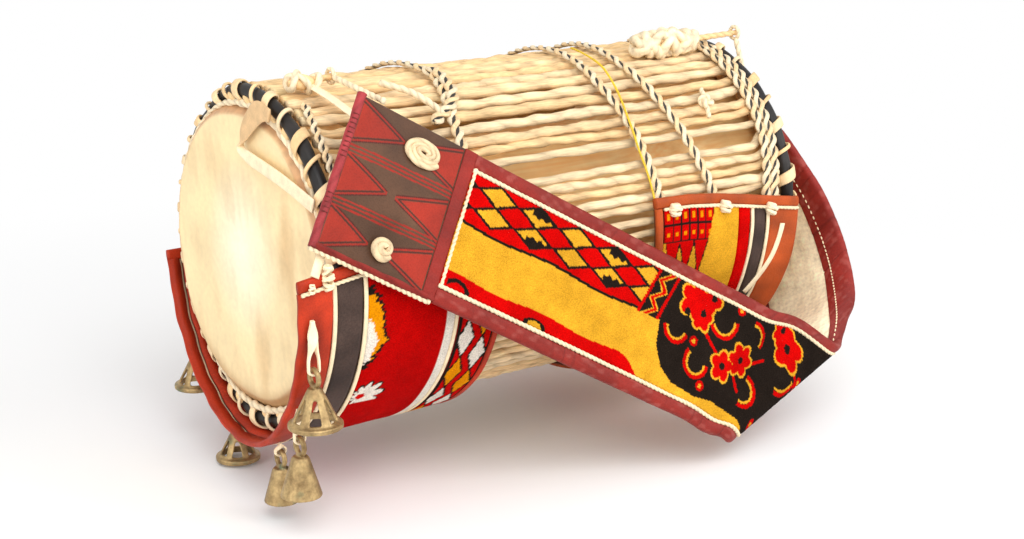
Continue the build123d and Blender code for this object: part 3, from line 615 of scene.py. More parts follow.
cord = {
    "step": 1.4, "pitch": 25.0, "drift": 0.5, "sag": 0.7, "depth": 0.2, "grooveShade": 0.66, "uneven": 0.12,
    "pinch": 0.7, "pinchOver": 45.0,         # share of a pair's spread at its ends, length to open over
    "looseOver": 60.0, "partOver": 18.0,     # lengths from the ends over which a cord drifts and parts
    # even places of the cords over the front and where they lie, parted by one wide gap
    "even": (8.0, 10.5, 15.5, 20.5, 25.5, 30.5, 35.5, 40.5, 45.5, 50.5, 55.5, 60.5, 65.5),
    "parted": (8.0, 10.3, 13.8, 17.6, 21.7, 25.4, 34.6, 38.6, 43.2, 48.6, 54.3, 60.0, 65.5),
    "backTurn": 3.0, "backSpan": (118, 135, 154, 172),       # degrees by which the cords at the back lie off
    "crowded": (42, 46, 162, 168), "slim": (0.9, 1.06), "thick": (1.14, 1.2),    # thick where they lie close
}


def tensionCords(pairs):     # each cord drifts in angle and radius, and a pair draws together at its ends
    x = np.arange(-drum["cordEnd"], drum["cordEnd"] + cord["step"] / 2, cord["step"])
    fromEnd = drum["cordEnd"] - np.abs(x)
    spread = cord["pinch"] + (1 - cord["pinch"]) * ease(0, cord["pinchOver"], fromEnd)
    loose = ease(0, cord["looseOver"], fromEnd)
    cords = []
    for pair in pairs:
        for half in (-1, 1):
            seed = 100 + 7 * pair + half
            rng = np.random.default_rng(seed)
            laid = drum["firstPair"] + pair * 360 / drum["pairs"] + half * drum["pairHalf"]
            turned = laid + cord["backTurn"] * within(cord["backSpan"], laid)
            drift = cord["drift"] * loose * wobble(seed, 60.0, x)
            angle = turned - half * drum["pairHalf"] * (1 - spread) + drift
            seen = laid % 360
            if cord["even"][0] < seen < cord["even"][-1]:
                shift = np.interp(seen, cord["even"], cord["parted"]) - seen
                angle = angle + shift * ease(0, cord["partOver"], fromEnd)
            radius = drum["ring"] - cord["sag"] * loose * (0.6 + 0.6 * wobble(seed + 3, 80.0, x))
            tint = mix(paint["rawhide"], paint["thong"], rng.uniform(0, 0.7)) * rng.uniform(0.9, 1.05)
            crowded = within(cord["crowded"], laid)
            thick = rng.uniform(*cord["slim"]) * (1 - crowded) + rng.uniform(*cord["thick"]) * crowded
            cords.append(rope(onDrum(x, radius, angle), radial(angle), drum["cordRadius"] * thick,
                              cord["pitch"] * rng.uniform(0.7, 1.5), tint, lobes=1, depth=cord["depth"],
                              seed=seed, grooveShade=cord["grooveShade"], uneven=cord["uneven"]))
    return join(cords)


fixedCords = {"top": range(7, 12), "back_low": range(17, 24), "under": range(24, 31),
              "front_low": range(31, 38)}
for place, pairs in fixedCords.items():
    makePiece(f"cords_{place}", tensionCords(pairs), "rawhideCord", "drum", [f"tension_cords_{place}"],
              "rawhide")
squeezed = {"front": (range(2, 7), 43.0), "back": (range(12, 17), 143.0)}    # pairs and their middle angle
for place, (pairs, middle) in squeezed.items():
    piece = makePiece(f"cords_{place}", tensionCords(pairs), "rawhideCord", None,
                      [f"squeeze_cords_{place}_near", f"squeeze_cords_{place}_far"], "rawhide")
    spot = onDrum(0.0, drum["ring"], middle) * mm
    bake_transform(piece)
print("cords finished")


# Braids and threads over the cords

braid = {
    "circle": 109.8, "sway": 2.7, "lift": 0.8, "halfWidth": 1.65, "halfThick": 1.0, "coreHalf": 2.2,
    "pitch": 18.0, "core": paint["strandBlack"],
    "tints": (paint["thong"] * 0.92, mix(paint["thong"], paint["rawhide"], 0.7) * 0.9),
    # below the squeezed cords, over the front ones, the top ones and the back ones
    "spans": {"low": (6.0, 15.5), "front": (15.5, 70.5), "top": (70.5, 115.5), "back": (115.5, 169.0),
              "behind": (169.0, 189.0)},
    "hingeX": 171.0, "turn": 6.5, "arcRise": 12.4, "arcHalf": 27.5,      # of the arc over the squeezed cords
    # node, angles over the top, place along the drum there, rise, shifts of the braids side by side
    "routes": {
        "near_mid": ("near_mid", (15.5, 42, 52, 62, 74, 100, 169, 189),
                     (-82, -79.9, -76, -70, -63, -66, -72, -74), 0.0, (0.0,)),
        "near_mid_loop": ("near_mid", (49.5, 53.7, 60.8, 69.3, 78),
                          (-95.7, -77.7, -65.5, -62.1, -61), 2.2, (0.0,)),
        "far_inner": ("far_inner", (6.0, 13, 28, 41, 58, 74, 100, 169),
                      (61.5, 59.4, 54.4, 52, 47.5, 49.3, 50, 51), 0.0, (0.0,)),
        "far_mid": ("far_mid", (6.0, 12.5, 25, 39, 52, 71, 100, 169),
                    (107.5, 105.5, 97, 90, 84, 79.5, 84, 90), 0.0, (0.0,)),
        "far_outer": ("far_outer", (6.0, 19, 30, 42, 54, 70, 100, 169),
                      (157, 162, 165, 166, 166, 166, 163, 162), 0.0, (-3.6, 3.8)),
    },
    "nearHead": ((13, 30, 38, 46, 56, 66), (-181, -176, -172.5, -172, -170, -166)), "nearHeadSize": 0.76,
}


def aroundPath(degrees, places, start, end, circle, step=0.5):
    # a line laid round the cords: its place along X is the mean between the points over 3 degrees either way
    angle = np.linspace(start, end, int((end - start) / step) + 2)
    x = np.interp(angle[:, None] + np.linspace(-3, 3, 13), degrees, places).mean(1)
    return onDrum(x, circle, angle), radial(angle), x


def squashOver(piece, place, group):     # gives the piece its own mesh; the drop and anchor for flattening the arc over the squeezed cords are worked out but not used
    middle = squeezed[group][1]
    drop = (braid["hingeX"] - abs(place)) * np.sin(np.radians(braid["turn"]))
    anchor = onDrum(0.0, braid["circle"] * np.cos(np.radians(braid["arcHalf"])), middle) * mm
    tuple(radial(middle))
    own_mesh(piece)


for name, (node, degrees, places, rise, beside) in braid["routes"].items():
    for spanName, (start, end) in braid["spans"].items():
        start, end = max(start, degrees[0]), min(end, degrees[-1])
        if end <= start:
            continue
        laid = [aroundPath(degrees, np.array(places) + shift, start, end, braid["circle"] + rise)
                for shift in beside]
        piece = makePiece(f"braid_{name}_{spanName}", join([plait(path, up, braid) for path, up, x in laid]),
                          "braidStrand", "drum", [f"braid_{node}"], "braid")
        if spanName in squeezed:
            squashOver(piece, laid[0][2].mean(), spanName)
degrees, places = braid["nearHead"]
path, up, x = aroundPath(degrees, places, degrees[0], degrees[-1], braid["circle"])
fine = {key: braid[key] * braid["nearHeadSize"]
        for key in ("sway", "lift", "halfWidth", "halfThick", "coreHalf", "pitch")}
makePiece("braid_near_head_ring", plait(path, up, {**braid, **fine}), "braidStrand", "drum",
          ["braid_near_head"], "braid")

thread = {"circle": 112.6, "radius": 0.75, "pitch": 4.0, "end": 82.0,
          "route": ((6.0, 30, 42, 66, 82), (54, 48.5, 50.5, 59.8, 57.6))}
for spanName in ("low", "front", "top"):
    start, end = braid["spans"][spanName]
    path, up, x = aroundPath(*thread["route"], start, min(end, thread["end"]), thread["circle"])
    line = rope(path, up, thread["radius"], thread["pitch"], paint["yellowThread"], sides=8)
    piece = makePiece(f"yellow_thread_{spanName}", line, "braidStrand", "drum", ["yellow_thread"], "thread")
    if spanName in squeezed:
        squashOver(piece, x.mean(), spanName)

nearCord = {"radius": 2.3, "circle": 113.0, "pitch": 12.0,
            "route": ((52.0, 56.0, 61.0, 65.5, 70.5), (-84.0, -86.0, -92.0, -97.0, -111.0))}
degrees, places = nearCord["route"]
path, up, x = aroundPath(degrees, places, degrees[0], degrees[-1], nearCord["circle"])
piece = makePiece("near_pale_cord",
                  rope(path, up, nearCord["radius"], nearCord["pitch"], paint["thong"], depth=0.25, seed=45),
                  "creamThong", "drum", (), "cream_cord")
squashOver(piece, x.mean(), "front")
print("braids finished")


# Knots of wound cord

def woundKnot(centre, axis, out, length, radius, cordRadius, windings, passes, tint, seed):
    # one closed line that winds round an axis while it runs to and fro along it, thicker in the middle
    t = np.arange(windings * 60) / (windings * 60)
    run = np.cos(2 * np.pi * passes * t) + 0.12 * np.sin(2 * np.pi * (3 * passes + 2) * t + seed)
    turn = 2 * np.pi * windings * t
    reach = radius * (1 - 0.35 * run ** 2) * (1 + 0.1 * np.sin(2 * np.pi * (windings + passes) * t))
    away = np.outer(np.cos(turn), out) + np.outer(np.sin(turn), np.cross(axis, out))
    path = centre + np.outer(run * length / 2, axis) + reach[:, None] * away
    return rope(path, away, cordRadius, 16.0, tint, depth=0.18, sides=10, loop=True, seed=seed)


def ballKnot(centre, ahead, out, radius, tint, seed):    # trefoil: 2 + cos 3t turned twice, high by sin 3t
    t = np.arange(160) * 2 * np.pi / 160
    side = np.cross(ahead, out)
    wide = (2 + np.cos(3 * t)) * radius / 3.6
    path = centre + np.outer(wide * np.cos(2 * t), ahead) + np.outer(wide * np.sin(2 * t), side) \
        + np.outer(np.sin(3 * t) * radius * 0.42, out)
    return rope(path, path - centre + 0.01 * out, radius * 0.36, 9.0, tint, depth=0.15, sides=10, loop=True,
                seed=seed)


xAxis = np.array([1.0, 0, 0])
knot = {"angle": 74.0, "circle": 117.4, "sink": 2.0, "toggle": 2.1}
knotOut = radial(knot["angle"])
lashings = {     # place, length, radius, cord, turns and passes
    "near": (-159.0, 19.0, 5.6, 2.1, 6, 2),
    "far": (127.0, 48.0, 7.0, 3.7, 10, 3),
}
for end, (x, length, radius, *winding) in lashings.items():
    centre = onDrum(x, knot["circle"] - knot["sink"], knot["angle"])
    half = xAxis * length * 0.52
    thick = radius * 0.86 * np.sin(np.linspace(0.35, np.pi - 0.35, 40))
    coreLine = np.linspace(centre - half, centre + half, 40)
    core = rope(coreLine, knotOut, thick, 20.0, paint["rawhide"], sides=14, seed=50)
    toggleEnd = onDrum(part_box(f"lashing_knot_{end}")[1].x / mm, knot["circle"], knot["angle"])
    toggle = rope(np.linspace(centre, toggleEnd, 60), knotOut, knot["toggle"], 14.0, paint["rawhide"])
    wound = woundKnot(centre, xAxis, knotOut, length, radius, *winding, paint["thong"], 52)
    makePiece(f"lashing_{end}", join([core, toggle, wound]), "creamThong", "drum", [f"lashing_knot_{end}"],
              "rawhide")

tail = {"places": (127.0, 120.5), "degrees": (50.0, 38.0), "circle": 109.5, "radius": 1.7,
        "knot": (123.5, 110.5, 44.0), "knotRadius": 5.0}
angle = np.linspace(*tail["degrees"], 40)
tailLine = onDrum(np.linspace(*tail["places"], 40), tail["circle"], angle)
tailCord = rope(tailLine, radial(angle), tail["radius"], 9.0, paint["thong"], seed=61)
tailOut = radial(tail["knot"][2])
tailKnot = ballKnot(onDrum(*tail["knot"]), xAxis, tailOut, tail["knotRadius"], paint["thong"], 62)
makePiece("cord_tail", join([tailCord, tailKnot]), "creamThong", "drum", ["cord_tail_tie"], "rawhide")


# Aprons

nearApron = {
    "bottom": -167.7, "step": 0.42, "backRoll": 1.2,
    "edgeMiddle": -199.0, "edgeSlope": 28.0 / (2 * drum["apronOut"]), "edgeWave": 0.7,
    "leather": -191.0, "black": (-189.0, -171.0), "carpet": (-168.0, -106.0),
    "strip": (-103.5, -75.0), "binding": (-74.7, -70.0), "piping": (-190.0, -169.5, -104.75),
    "hem": (-213.0, -70.0), "backHem": (-185.0, -70.0), "hemPiping": (-212.0, -108.0),
    # places along X and degrees that the hem is turned there
    "slope": ((-214.0, -193.0, -172.0, -165.0), (-1.1, 0.45, 1.85, 2.2)),
    "narrowest": 8.0, "bandGap": 2.0,        # of the leather at the back, and from there to the black band
    # place, angle, length, radius, cord, turns
    "knots": ((-206.0, 5.5, 5.0, 1.4, 0.7, 5), (-195.0, 7.0, 13.0, 2.6, 1.2, 8)),
}
farApron = {
    "bottom": -184.7, "step": 0.42, "backRoll": 1.2,
    "leather": (152.0, 180.0), "black": (137.5, 149.0), "red": (124.0, 134.5), "carpet": (57.0, 123.7),
    "binding": (51.0, 56.7), "piping": (150.5, 136.0),
    "hem": (51.0, 179.0), "backHem": (51.0, 180.0), "hemPiping": (57.0, 178.0),
    "slope": ((52.0, 80.0, 108.0, 140.0, 176.0), (4.7, 4.2, 2.7, 0.0, -2.9)),
    "knots": [(x, 4.0, 6.0, 3.0, 1.5, 5) for x in (151.0, 109.0, 65.0)],
}
aprons = {"near": nearApron, "far": farApron}


def tufts(value, size=0.6):         # the middle of the tuft that a place falls in
    return (np.floor(value / size) + 0.5) * size


def cut(tint, inside, value):        # paints the places inside
    return np.where(inside[..., None], value, tint)


def painted(tint, *cuts):            # paints the places inside each cut by the name of its colour, in turn
    for inside, name in cuts:
        tint = cut(tint, inside, paint[name])
    return tint


def nearLeatherTint(x, arc):         # red leather, dark round the slit of the front bell's thong
    stain = ease(1.1, 0.2, np.hypot((x + 204) / 9, (arc - 28) / 20))
    return plain(paint["redLeather"], 91, 0.14)(x, arc) * (1 - 0.6 * stain)[..., None]


def nearCarpetTint(x, arc):          # red with a leaf, a flower and a curl that come round again, edged white
    x, arc = tufts(x), tufts(arc)
    tint = paint["pileRed"] * (1 + 0.1 * wobble(71, 20.0, x, arc))[..., None] * 0.8
    turn = np.mod(arc + 26, 118) - 26
    jag = 0.05 * np.sin(turn * 1.1) + 0.05 * np.sin(turn * 2.3 + x * 0.6)
    jag = jag - 0.35 * np.exp(-((turn - 44) / 4) ** 2)
    leaf = np.hypot((x + 168) / 12, (turn - 36) / 26) + jag
    core = np.hypot((x + 168) / 6, (turn - 44) / 17) + 1.2 * jag
    around = np.arctan2(turn - 86, x + 162)
    reach = np.hypot(x + 162, turn - 86)
    petals = (11 + 5 * np.cos(around)) * (0.6 + 0.4 * np.abs(np.cos(5.5 * around + 0.4)))
    curl = np.abs(np.hypot(x + 152, turn - 103) - 7)
    return painted(tint, (leaf < 1.0, "pileBlack"), (leaf < 0.85, "pileOrange"), (core < 0.9, "pileWhite"),
                   (reach < petals + 1.4, "pileBlack"), (reach < petals - 0.2, "pileWhite"),
                   (reach < 2.8, "pileRed"), ((curl < 1.1) & (turn > 101), "pileOrange"),
                   (x > -113, "pileWhite"))


def stripTint(x, arc):               # red with two rows of long diamonds, white and orange, edged black
    x, arc = tufts(x), tufts(arc)
    tint = np.broadcast_to(paint["pileRed"], (*x.shape, 3))
    for middle, shift, first in ((-95.5, 0.0, 0), (-83.0, 14.0, 1)):
        k = np.round((arc + shift) / 28)
        size = np.abs(x - middle) / 6.2 + np.abs(arc + shift - 28 * k) / 14
        orange = np.mod(k + first, 2) == 1
        tint = painted(tint, (size < 1.15, "pileBlack"), (size < 0.92, "pileWhite"),
                       ((size < 0.92) & orange, "pileOrange"))
    return painted(tint, ((np.abs(x + 102) < 1.0) | (np.abs(x + 76.2) < 0.9), "pileBlack"))


def farCarpetTint(x, arc):           # yellow ground, a red grid under the hem and tall red spikes below it
    x, arc = tufts(x), tufts(arc)
    tint = paint["pileYellow"] * (1 + 0.08 * wobble(81, 18.0, x, arc))[..., None]
    turn = np.mod(arc, 92.0)
    inGrid = (turn < 24) & (x < 101.5 - 0.25 * turn)
    cellX, cellA = np.abs(np.mod(x - 57, 7.2) - 3.6), np.abs(np.mod(turn - 1.0, 11.5) - 5.75)
    spike = np.abs(np.mod(x - 58, 12.4) - 6.2)
    swing = 0.6 + 5.2 * np.abs(np.mod(turn - 24, 40) - 20) / 20
    inSpike = (turn >= 24) & (turn < 84) & (x > 58) & (x < 95.2)
    return painted(tint, (inGrid, "pileBlack"), (inGrid & (cellX < 2.75) & (cellA < 4.8), "pileRed"),
                   (inGrid & (cellX < 1.2) & (cellA < 1.7), "pileOrange"),
                   (inSpike & (spike < swing + 1.0), "pileBlack"), (inSpike & (spike < swing), "pileRed"))


hem = {
    "roll": 1.6, "piping": -0.6,             # degrees from the aprons' top
    "knotRise": 2.6, "stripHalf": 1.35, "stripThick": 0.8, "cord": 1.25, "cordRise": 0.9, "cordPitch": 6.5,
}


def hemRoll(edges, angle, tint, seed):       # rolled leather: an outline in angle and radius carried along X
    x = np.linspace(*edges, 90)
    out, inn = drum["apronOut"], drum["apronIn"]
    outline = rounded([(-1.7, inn), (1.55, inn), (1.9, out - 1), (1.3, out + 0.9), (-1.2, out + 0.8),
                       (-1.9, out - 0.4)])
    wave = 0.22 * wobble(seed, 11.0, x)[:, None]
    return sweep(onDrum(x[:, None], outline[:, 1] + wave, angle + outline[:, 0] + 0.3 * wave),
                 tint * (1 + 0.1 * wobble(seed + 1, 8.0, x))[:, None, None])


def pipingRound(x, angles, seed):    # flat cream strip between two bands
    path = onDrum(x, drum["apronOut"] - 0.1 + 0.2 * wobble(seed, 10.0, angles), angles)
    return ribbon(path, radial(angles), hem["stripHalf"], hem["stripThick"], paint["piping"] * 0.97, sides=10)


def pipingUnderHem(edges, angle, seed):      # twisted cream cord that lies under the hem
    path = onDrum(np.linspace(*edges, 260), drum["apronOut"] + hem["cordRise"], angle)
    return rope(path, radial(angle), hem["cord"], hem["cordPitch"], paint["piping"], depth=0.3, sides=10,
                seed=seed)


def tilted(part, apron):     # turned about the axis by the hem's slope at each place, less further down
    points, faces, shades = part
    high = points[:, 2] - drum["axisZ"]
    angle = np.degrees(np.arctan2(high, -points[:, 1]))
    turn = np.interp(points[:, 0], *apron["slope"]) * ease(-75, -5, angle) * (angle < 90)
    return onDrum(points[:, 0], np.hypot(points[:, 1], high), angle + turn), faces, shades


def apronPiece(end, name, part, finishName, node, slot):
    makePiece(f"{end}_apron_{name}", tilted(part, aprons[end]), finishName, "drum", [f"apron_{end}_{node}"],
              slot)


def apronEdges(end, angles, between, tint, slot, seed):      # binding and hems, then the piping between bands
    apron = aprons[end]
    binding = [band(apron["binding"], angles, plain(tint, seed, 0.12), 0.5, 0.8),
               hemRoll(apron["hem"], drum["apronTop"] + hem["roll"], tint, seed + 1),
               hemRoll(apron["backHem"], apron["bottom"] - apron["backRoll"], tint, seed + 2)]
    apronPiece(end, "binding", join(binding), "wornLeather", "binding", slot)
    piping = [pipingRound(x, angles, seed + 3 + k) for k, x in enumerate(between)]
    piping += [pipingUnderHem(apron["hemPiping"], drum["apronTop"] + hem["piping"], seed + 5)]
    apronPiece(end, "piping", join(piping), "creamThong", "piping", "cream_cord")


nearAngles, farAngles = [np.arange(drum["apronTop"] - 0.3, apron["bottom"], -apron["step"])
                         for apron in aprons.values()]
forward = drum["apronOut"] * np.cos(np.radians(nearAngles))
nearEdge = nearApron["edgeMiddle"] - nearApron["edgeSlope"] * forward \
    + nearApron["edgeWave"] * wobble(90, 9.0, nearAngles)
leatherTo = np.maximum(nearApron["leather"], nearEdge + nearApron["narrowest"])
blackFrom = np.maximum(nearApron["black"][0], leatherTo + nearApron["bandGap"])
nearBetween = (nearApron["piping"][0] + leatherTo - nearApron["leather"], *nearApron["piping"][1:])
redInside, brownInside = paint["redLeather"] * 0.85, wrap["lining"]
bands = {        # piece, edges, shades, swell, step of the points, lining, finish, node and slot
    "near": (
        ("leather", (nearEdge, leatherTo), nearLeatherTint, 0.3, 1.4, redInside,
         "wornLeather", "edge_leather", "red_leather"),
        ("black", (blackFrom, nearApron["black"][1]), plain(paint["bandBlack"], 92, 0.2), 0.3, 1.4, redInside,
         "blackHide", "black_band", "black_felt"),
        ("carpet", nearApron["carpet"], nearCarpetTint, 0.6, 0.8, redInside,
         "carpetPile", "carpet", "carpet_red"),
        ("strip", nearApron["strip"], stripTint, 0.6, 0.8, brownInside,
         "carpetPile", "diamond_strip", "carpet_red"),
    ),
    "far": (
        ("leather", farApron["leather"], plain(paint["brownLeather"], 101, 0.14), 0.3, 1.4, brownInside,
         "wornLeather", "edge_leather", "brown_leather"),
        ("black", farApron["black"], plain(paint["bandBlack"], 102, 0.2), 0.3, 1.4, brownInside,
         "blackHide", "black_band", "black_felt"),
        ("red", farApron["red"], plain(paint["pileRed"], 103, 0.1), 0.6, 0.9, brownInside,
         "carpetPile", "red_band", "carpet_red"),
        ("carpet", farApron["carpet"], farCarpetTint, 0.6, 0.8, brownInside,
         "carpetPile", "carpet", "carpet_yellow"),
    ),
}
apronEnds = (    # angles, places of the piping between the bands, leather, its slot and the first seed
    ("near", nearAngles, nearBetween, paint["redLeather"], "red_leather", 93),
    ("far", farAngles, farApron["piping"], paint["brownLeather"], "brown_leather", 104),
)
for end, angles, between, tint, leatherSlot, seed in apronEnds:
    for name, edges, shades, puff, step, lining, finishName, node, slot in bands[end]:
        apronPiece(end, name, band(edges, angles, shades, puff, step, lining), finishName, node, slot)
    apronEdges(end, angles, between, tint, leatherSlot, seed)
for end, apron in aprons.items():
    knots = []
    for k, (x, angle, *winding) in enumerate(apron["knots"]):
        centre = onDrum(x, drum["apronOut"] + hem["knotRise"], angle)
        along, out = radial(angle + 90), radial(angle)
        knots.append(woundKnot(centre, along, out, *winding, 1, paint["thong"], 110 + k))
    apronPiece(end, "knots", join(knots), "creamThong", "knots", "cream_cord")
print("aprons finished")


# Thongs that carry the bells: a flat strip out of a slit, through the bell's eye and back

bellThong = {
    "bight": 3.4, "halfWidth": 1.3, "wideHalf": 3.1, "halfThick": 0.7, "apart": 0.9,
    # place along X, angle of the slit, drop to the bell's eye
    "slits": ((-206.0, -4.0, 32.0), (-205.0, -35.0, 21.0), (-199.0, -58.6, 8.0), (-177.0, -108.7, 8.6),
              (-179.0, -140.6, 10.2)),
}


def hangingThong(x, angle, drop):    # two strands lie flat on each other, turn edge on and part into a bight
    slit = onDrum(x, drum["apronOut"] + 1.5, angle)
    bight, narrow = bellThong["bight"], bellThong["halfWidth"]
    t = np.linspace(0, 1, 30)
    opened = ease(0.3, 0.85, t)
    low = drop - bight * 0.8
    out = np.stack([0.2 + (bight - 0.2) * opened, bellThong["apart"] * (1 - opened), 0 * t], -1)
    down = np.stack([0 * t, 0 * t, -low * t], -1)
    around = np.linspace(0, np.pi, 20)[1:-1]
    arc = slit + np.stack([-bight * np.cos(around), 0 * around, -low - bight * 0.8 * np.sin(around)], -1)
    arcUp = np.stack([-np.cos(around), 0 * around, -np.sin(around)], -1)
    tilt = np.pi / 2 * ease(0.25, 0.75, t)
    up = np.stack([np.sin(tilt), np.cos(tilt), 0 * t], -1)
    wide = narrow + (bellThong["wideHalf"] - narrow) * (1 - ease(0.3, 0.8, t)) * ease(6, 20, drop)
    wide = wide * (0.4 + 0.6 * ease(0.0, 0.3, t))
    path = np.concatenate([slit + down - out, arc, (slit + down + out)[::-1]])
    width = np.concatenate([wide, np.full(len(arc), narrow), wide[::-1]])
    return ribbon(path, np.concatenate([-up, arcUp, up[::-1]]), width, bellThong["halfThick"], paint["thong"],
                  sides=10)


makePiece("bell_lacing", join([hangingThong(*slit) for slit in bellThong["slits"]]), "creamThong", "drum",
          ["bell_thongs"], "cream_cord")


# Strap: carpet on suede, bound in red leather, that leans on the drum, folds and goes back to the far head

strap = {
    "width": 94.0, "restAngle": 17.0, "slant": 31.4, "edge": 13.0, "clear": 1.2, "thick": 5.3,
    "panelStart": -174.0, "panelLength": 83.0, "raised": 75.0, "start": -90.7,
    # places on the flat leg along the upper and the lower edge
    "leg": ((-90.7, -90.7), (-55.0, -58.0), (-20.0, -28.0), (25.0, 10.0), (70.0, 42.0), (110.0, 72.0),
            (140.0, 94.0), (160.0, 110.0)),
    # the fold and the way back: upper edge, then lower edge, from the far head's face and the drum's axis
    "back": (
        ((-20.0, -138.5, -71.5), (-127.0, -161.0, -121.0)), ((-4.0, -149.6, -85.5), (-116.0, -162.0, -126.0)),
        ((9.0, -146.5, -88.5), (-108.0, -157.0, -131.0)), ((18.0, -142.0, -82.0), (-101.0, -148.0, -126.0)),
        ((27.0, -140.0, -67.0), (-70.0, -122.0, -112.0)), ((35.0, -126.0, -38.0), (1.0, -72.0, -105.0)),
        ((33.0, -113.7, -11.4), (18.0, -35.0, -62.0)), ((26.0, -99.4, 15.6), (21.0, -20.0, -35.0)),
        ((19.0, -90.8, 30.7), (17.0, -11.0, -19.0)), ((12.0, -85.2, 43.5), (13.0, -5.0, -6.0)),
        ((7.5, -72.0, 56.0), (9.5, 9.0, 8.0)),
    ),
    "rows": 740, "cols": 121, "inset": 11.6, "pile": 0.18,
    "pileWidth": 71.0, "pileRound": 1.6, "pileHigh": 0.9,
    "liningCols": 79, "liningInset": 9.8,
    "stitchIn": 13.8, "stitch": (1.35, 0.6, 0.55), "stitchEvery": 6,
    "pipeIn": 10.3, "pipe": 1.45, "endPipe": 1.4, "pipePitch": 7.0,
}
restOut = radial(strap["restAngle"])
restDown = np.cross(xAxis, restOut)
slant = np.radians(strap["slant"])
legAlong = xAxis * np.cos(slant) + restDown * np.sin(slant)
legAcross = restDown * np.cos(slant) - xAxis * np.sin(slant)
legHigh = drum["apronOut"] + strap["clear"] + strap["thick"] / 2
legOrigin = np.array([0, 0, drum["axisZ"]]) + restOut * legHigh
farFace = np.array([drum["half"], 0, drum["axisZ"]])


def onLeg(along, across, height=0.0):        # a place on the strap's flat leg and a height above its middle
    along, across, height = [n[..., None] for n in np.broadcast_arrays(along, across, height)]
    return legOrigin + along * legAlong + (strap["edge"] + across) * legAcross + height * restOut


def unit(vectors):
    return vectors / np.linalg.norm(vectors, axis=-1)[..., None]


stops = [np.r_[onLeg(high, 0.0), onLeg(low, strap["width"])] for high, low in strap["leg"]]
stops += [np.r_[farFace + high, farFace + low] for high, low in strap["back"]]
both = smoothThrough(stops, strap["rows"])
upper, lower = both[:, :3], both[:, 3:]
across = unit(lower - upper)
ahead = unit(np.gradient(upper, axis=0) + np.gradient(lower, axis=0))
inward = unit(np.cross(ahead, across))
face = strap["thick"] / 2
legRun = lengthAlong((upper + lower) / 2)


def strapLine(share, offset, height):        # points between the edges: share across, offset and height
    return upper[:, None] * (1 - share)[None, :, None] + lower[:, None] * share[None, :, None] \
        + across[:, None] * offset[None, :, None] + inward[:, None] * height[None, :, None]


def awayFrom(u, v, middle):
    return np.hypot(u - middle[0], v - middle[1])


def petalEdge(u, v, middle, size, petals, phase):    # how far inside a flower with round petals
    turn = np.arctan2(v - middle[1], u - middle[0])
    return size * (0.66 + 0.34 * np.abs(np.cos(petals / 2 * turn + phase))) - awayFrom(u, v, middle)


def curl(tint, u, v, middle, size, start, end):      # arc of a circle, red with a yellow inner line
    reach = awayFrom(u, v, middle)
    turn = np.mod(np.degrees(np.arctan2(v - middle[1], u - middle[0])) - start, 360)
    inside = turn < end - start
    return painted(tint, (inside & (np.abs(reach - size) < 1.25), "pileRed"),
                   (inside & (np.abs(reach - size + 2.1) < 0.75), "pileYellow"))


def besides(u, v, start, end):       # distance from a straight stroke
    start, reach = np.array(start, float), np.subtract(end, start).astype(float)
    t = np.clip(((u - start[0]) * reach[0] + (v - start[1]) * reach[1]) / (reach @ reach), 0, 1)
    return np.hypot(u - start[0] - t * reach[0], v - start[1] - t * reach[1])


blooms = (       # middle, size, petals, phase
    ((94, 21), 12.5, 5, 0.3), ((107, 16), 9.0, 4, 0.2), ((103, 29), 8.5, 5, 0.8), ((143, 43), 11.0, 6, 0.2),
    ((128, 52), 9.5, 5, 0.9), ((185, 25), 12.0, 5, 0.6), ((177, 15), 9.0, 5, 0.2), ((206, 60), 10.0, 6, 0.1),
    ((232, 32), 13.0, 5, 0.5), ((262, 60), 10.5, 6, 0.2), ((292, 30), 13.0, 5, 0.8),
    ((322, 58), 11.0, 6, 0.3), ((352, 30), 12.0, 5, 0.4), ((384, 56), 11.0, 6, 0.6),
    ((414, 30), 12.0, 5, 0.2),
)
eyes = ((90, 29), (103, 26), (109, 14), (143, 43), (128, 52), (185, 25), (179, 15), (206, 60), (228, 35),
        (237, 31), (262, 60), (292, 30), (322, 58), (352, 30), (384, 56), (414, 30))
sprays = (       # middle, size, start and end of the arc in degrees
    ((84.5, 42), 9.5, 10, 175), ((121.5, 24), 11, -10, 150), ((106.5, 57), 9.5, 0, 215),
    ((148, 27), 11.5, -95, 20), ((153, 60.5), 9, -80, 110), ((179, 35), 17, 20, 95), ((218, 45), 10, 0, 190),
    ((246, 50), 11, 180, 350), ((277, 44), 10, 10, 200), ((307, 42), 10, 180, 350), ((337, 44), 10, 0, 190),
    ((368, 42), 10, 190, 350), ((398, 44), 10, 0, 180),
)
stems = (((103, 33), (121, 46)), ((152, 44), (166, 38)), ((136, 50), (148, 62)), ((192, 34), (204, 50)))
dots = ((100.7, 45.4), (133.5, 12.8), (167.8, 75), (114, 70), (200, 38), (250, 22), (305, 66), (365, 66))
shoreline = ((70, 72, 80, 91, 112, 127, 141, 152, 161, 175, 600),        # lower edge of the black ground
             (44, 58, 70, 76, 78, 75, 76, 79, 83, 90, 90))


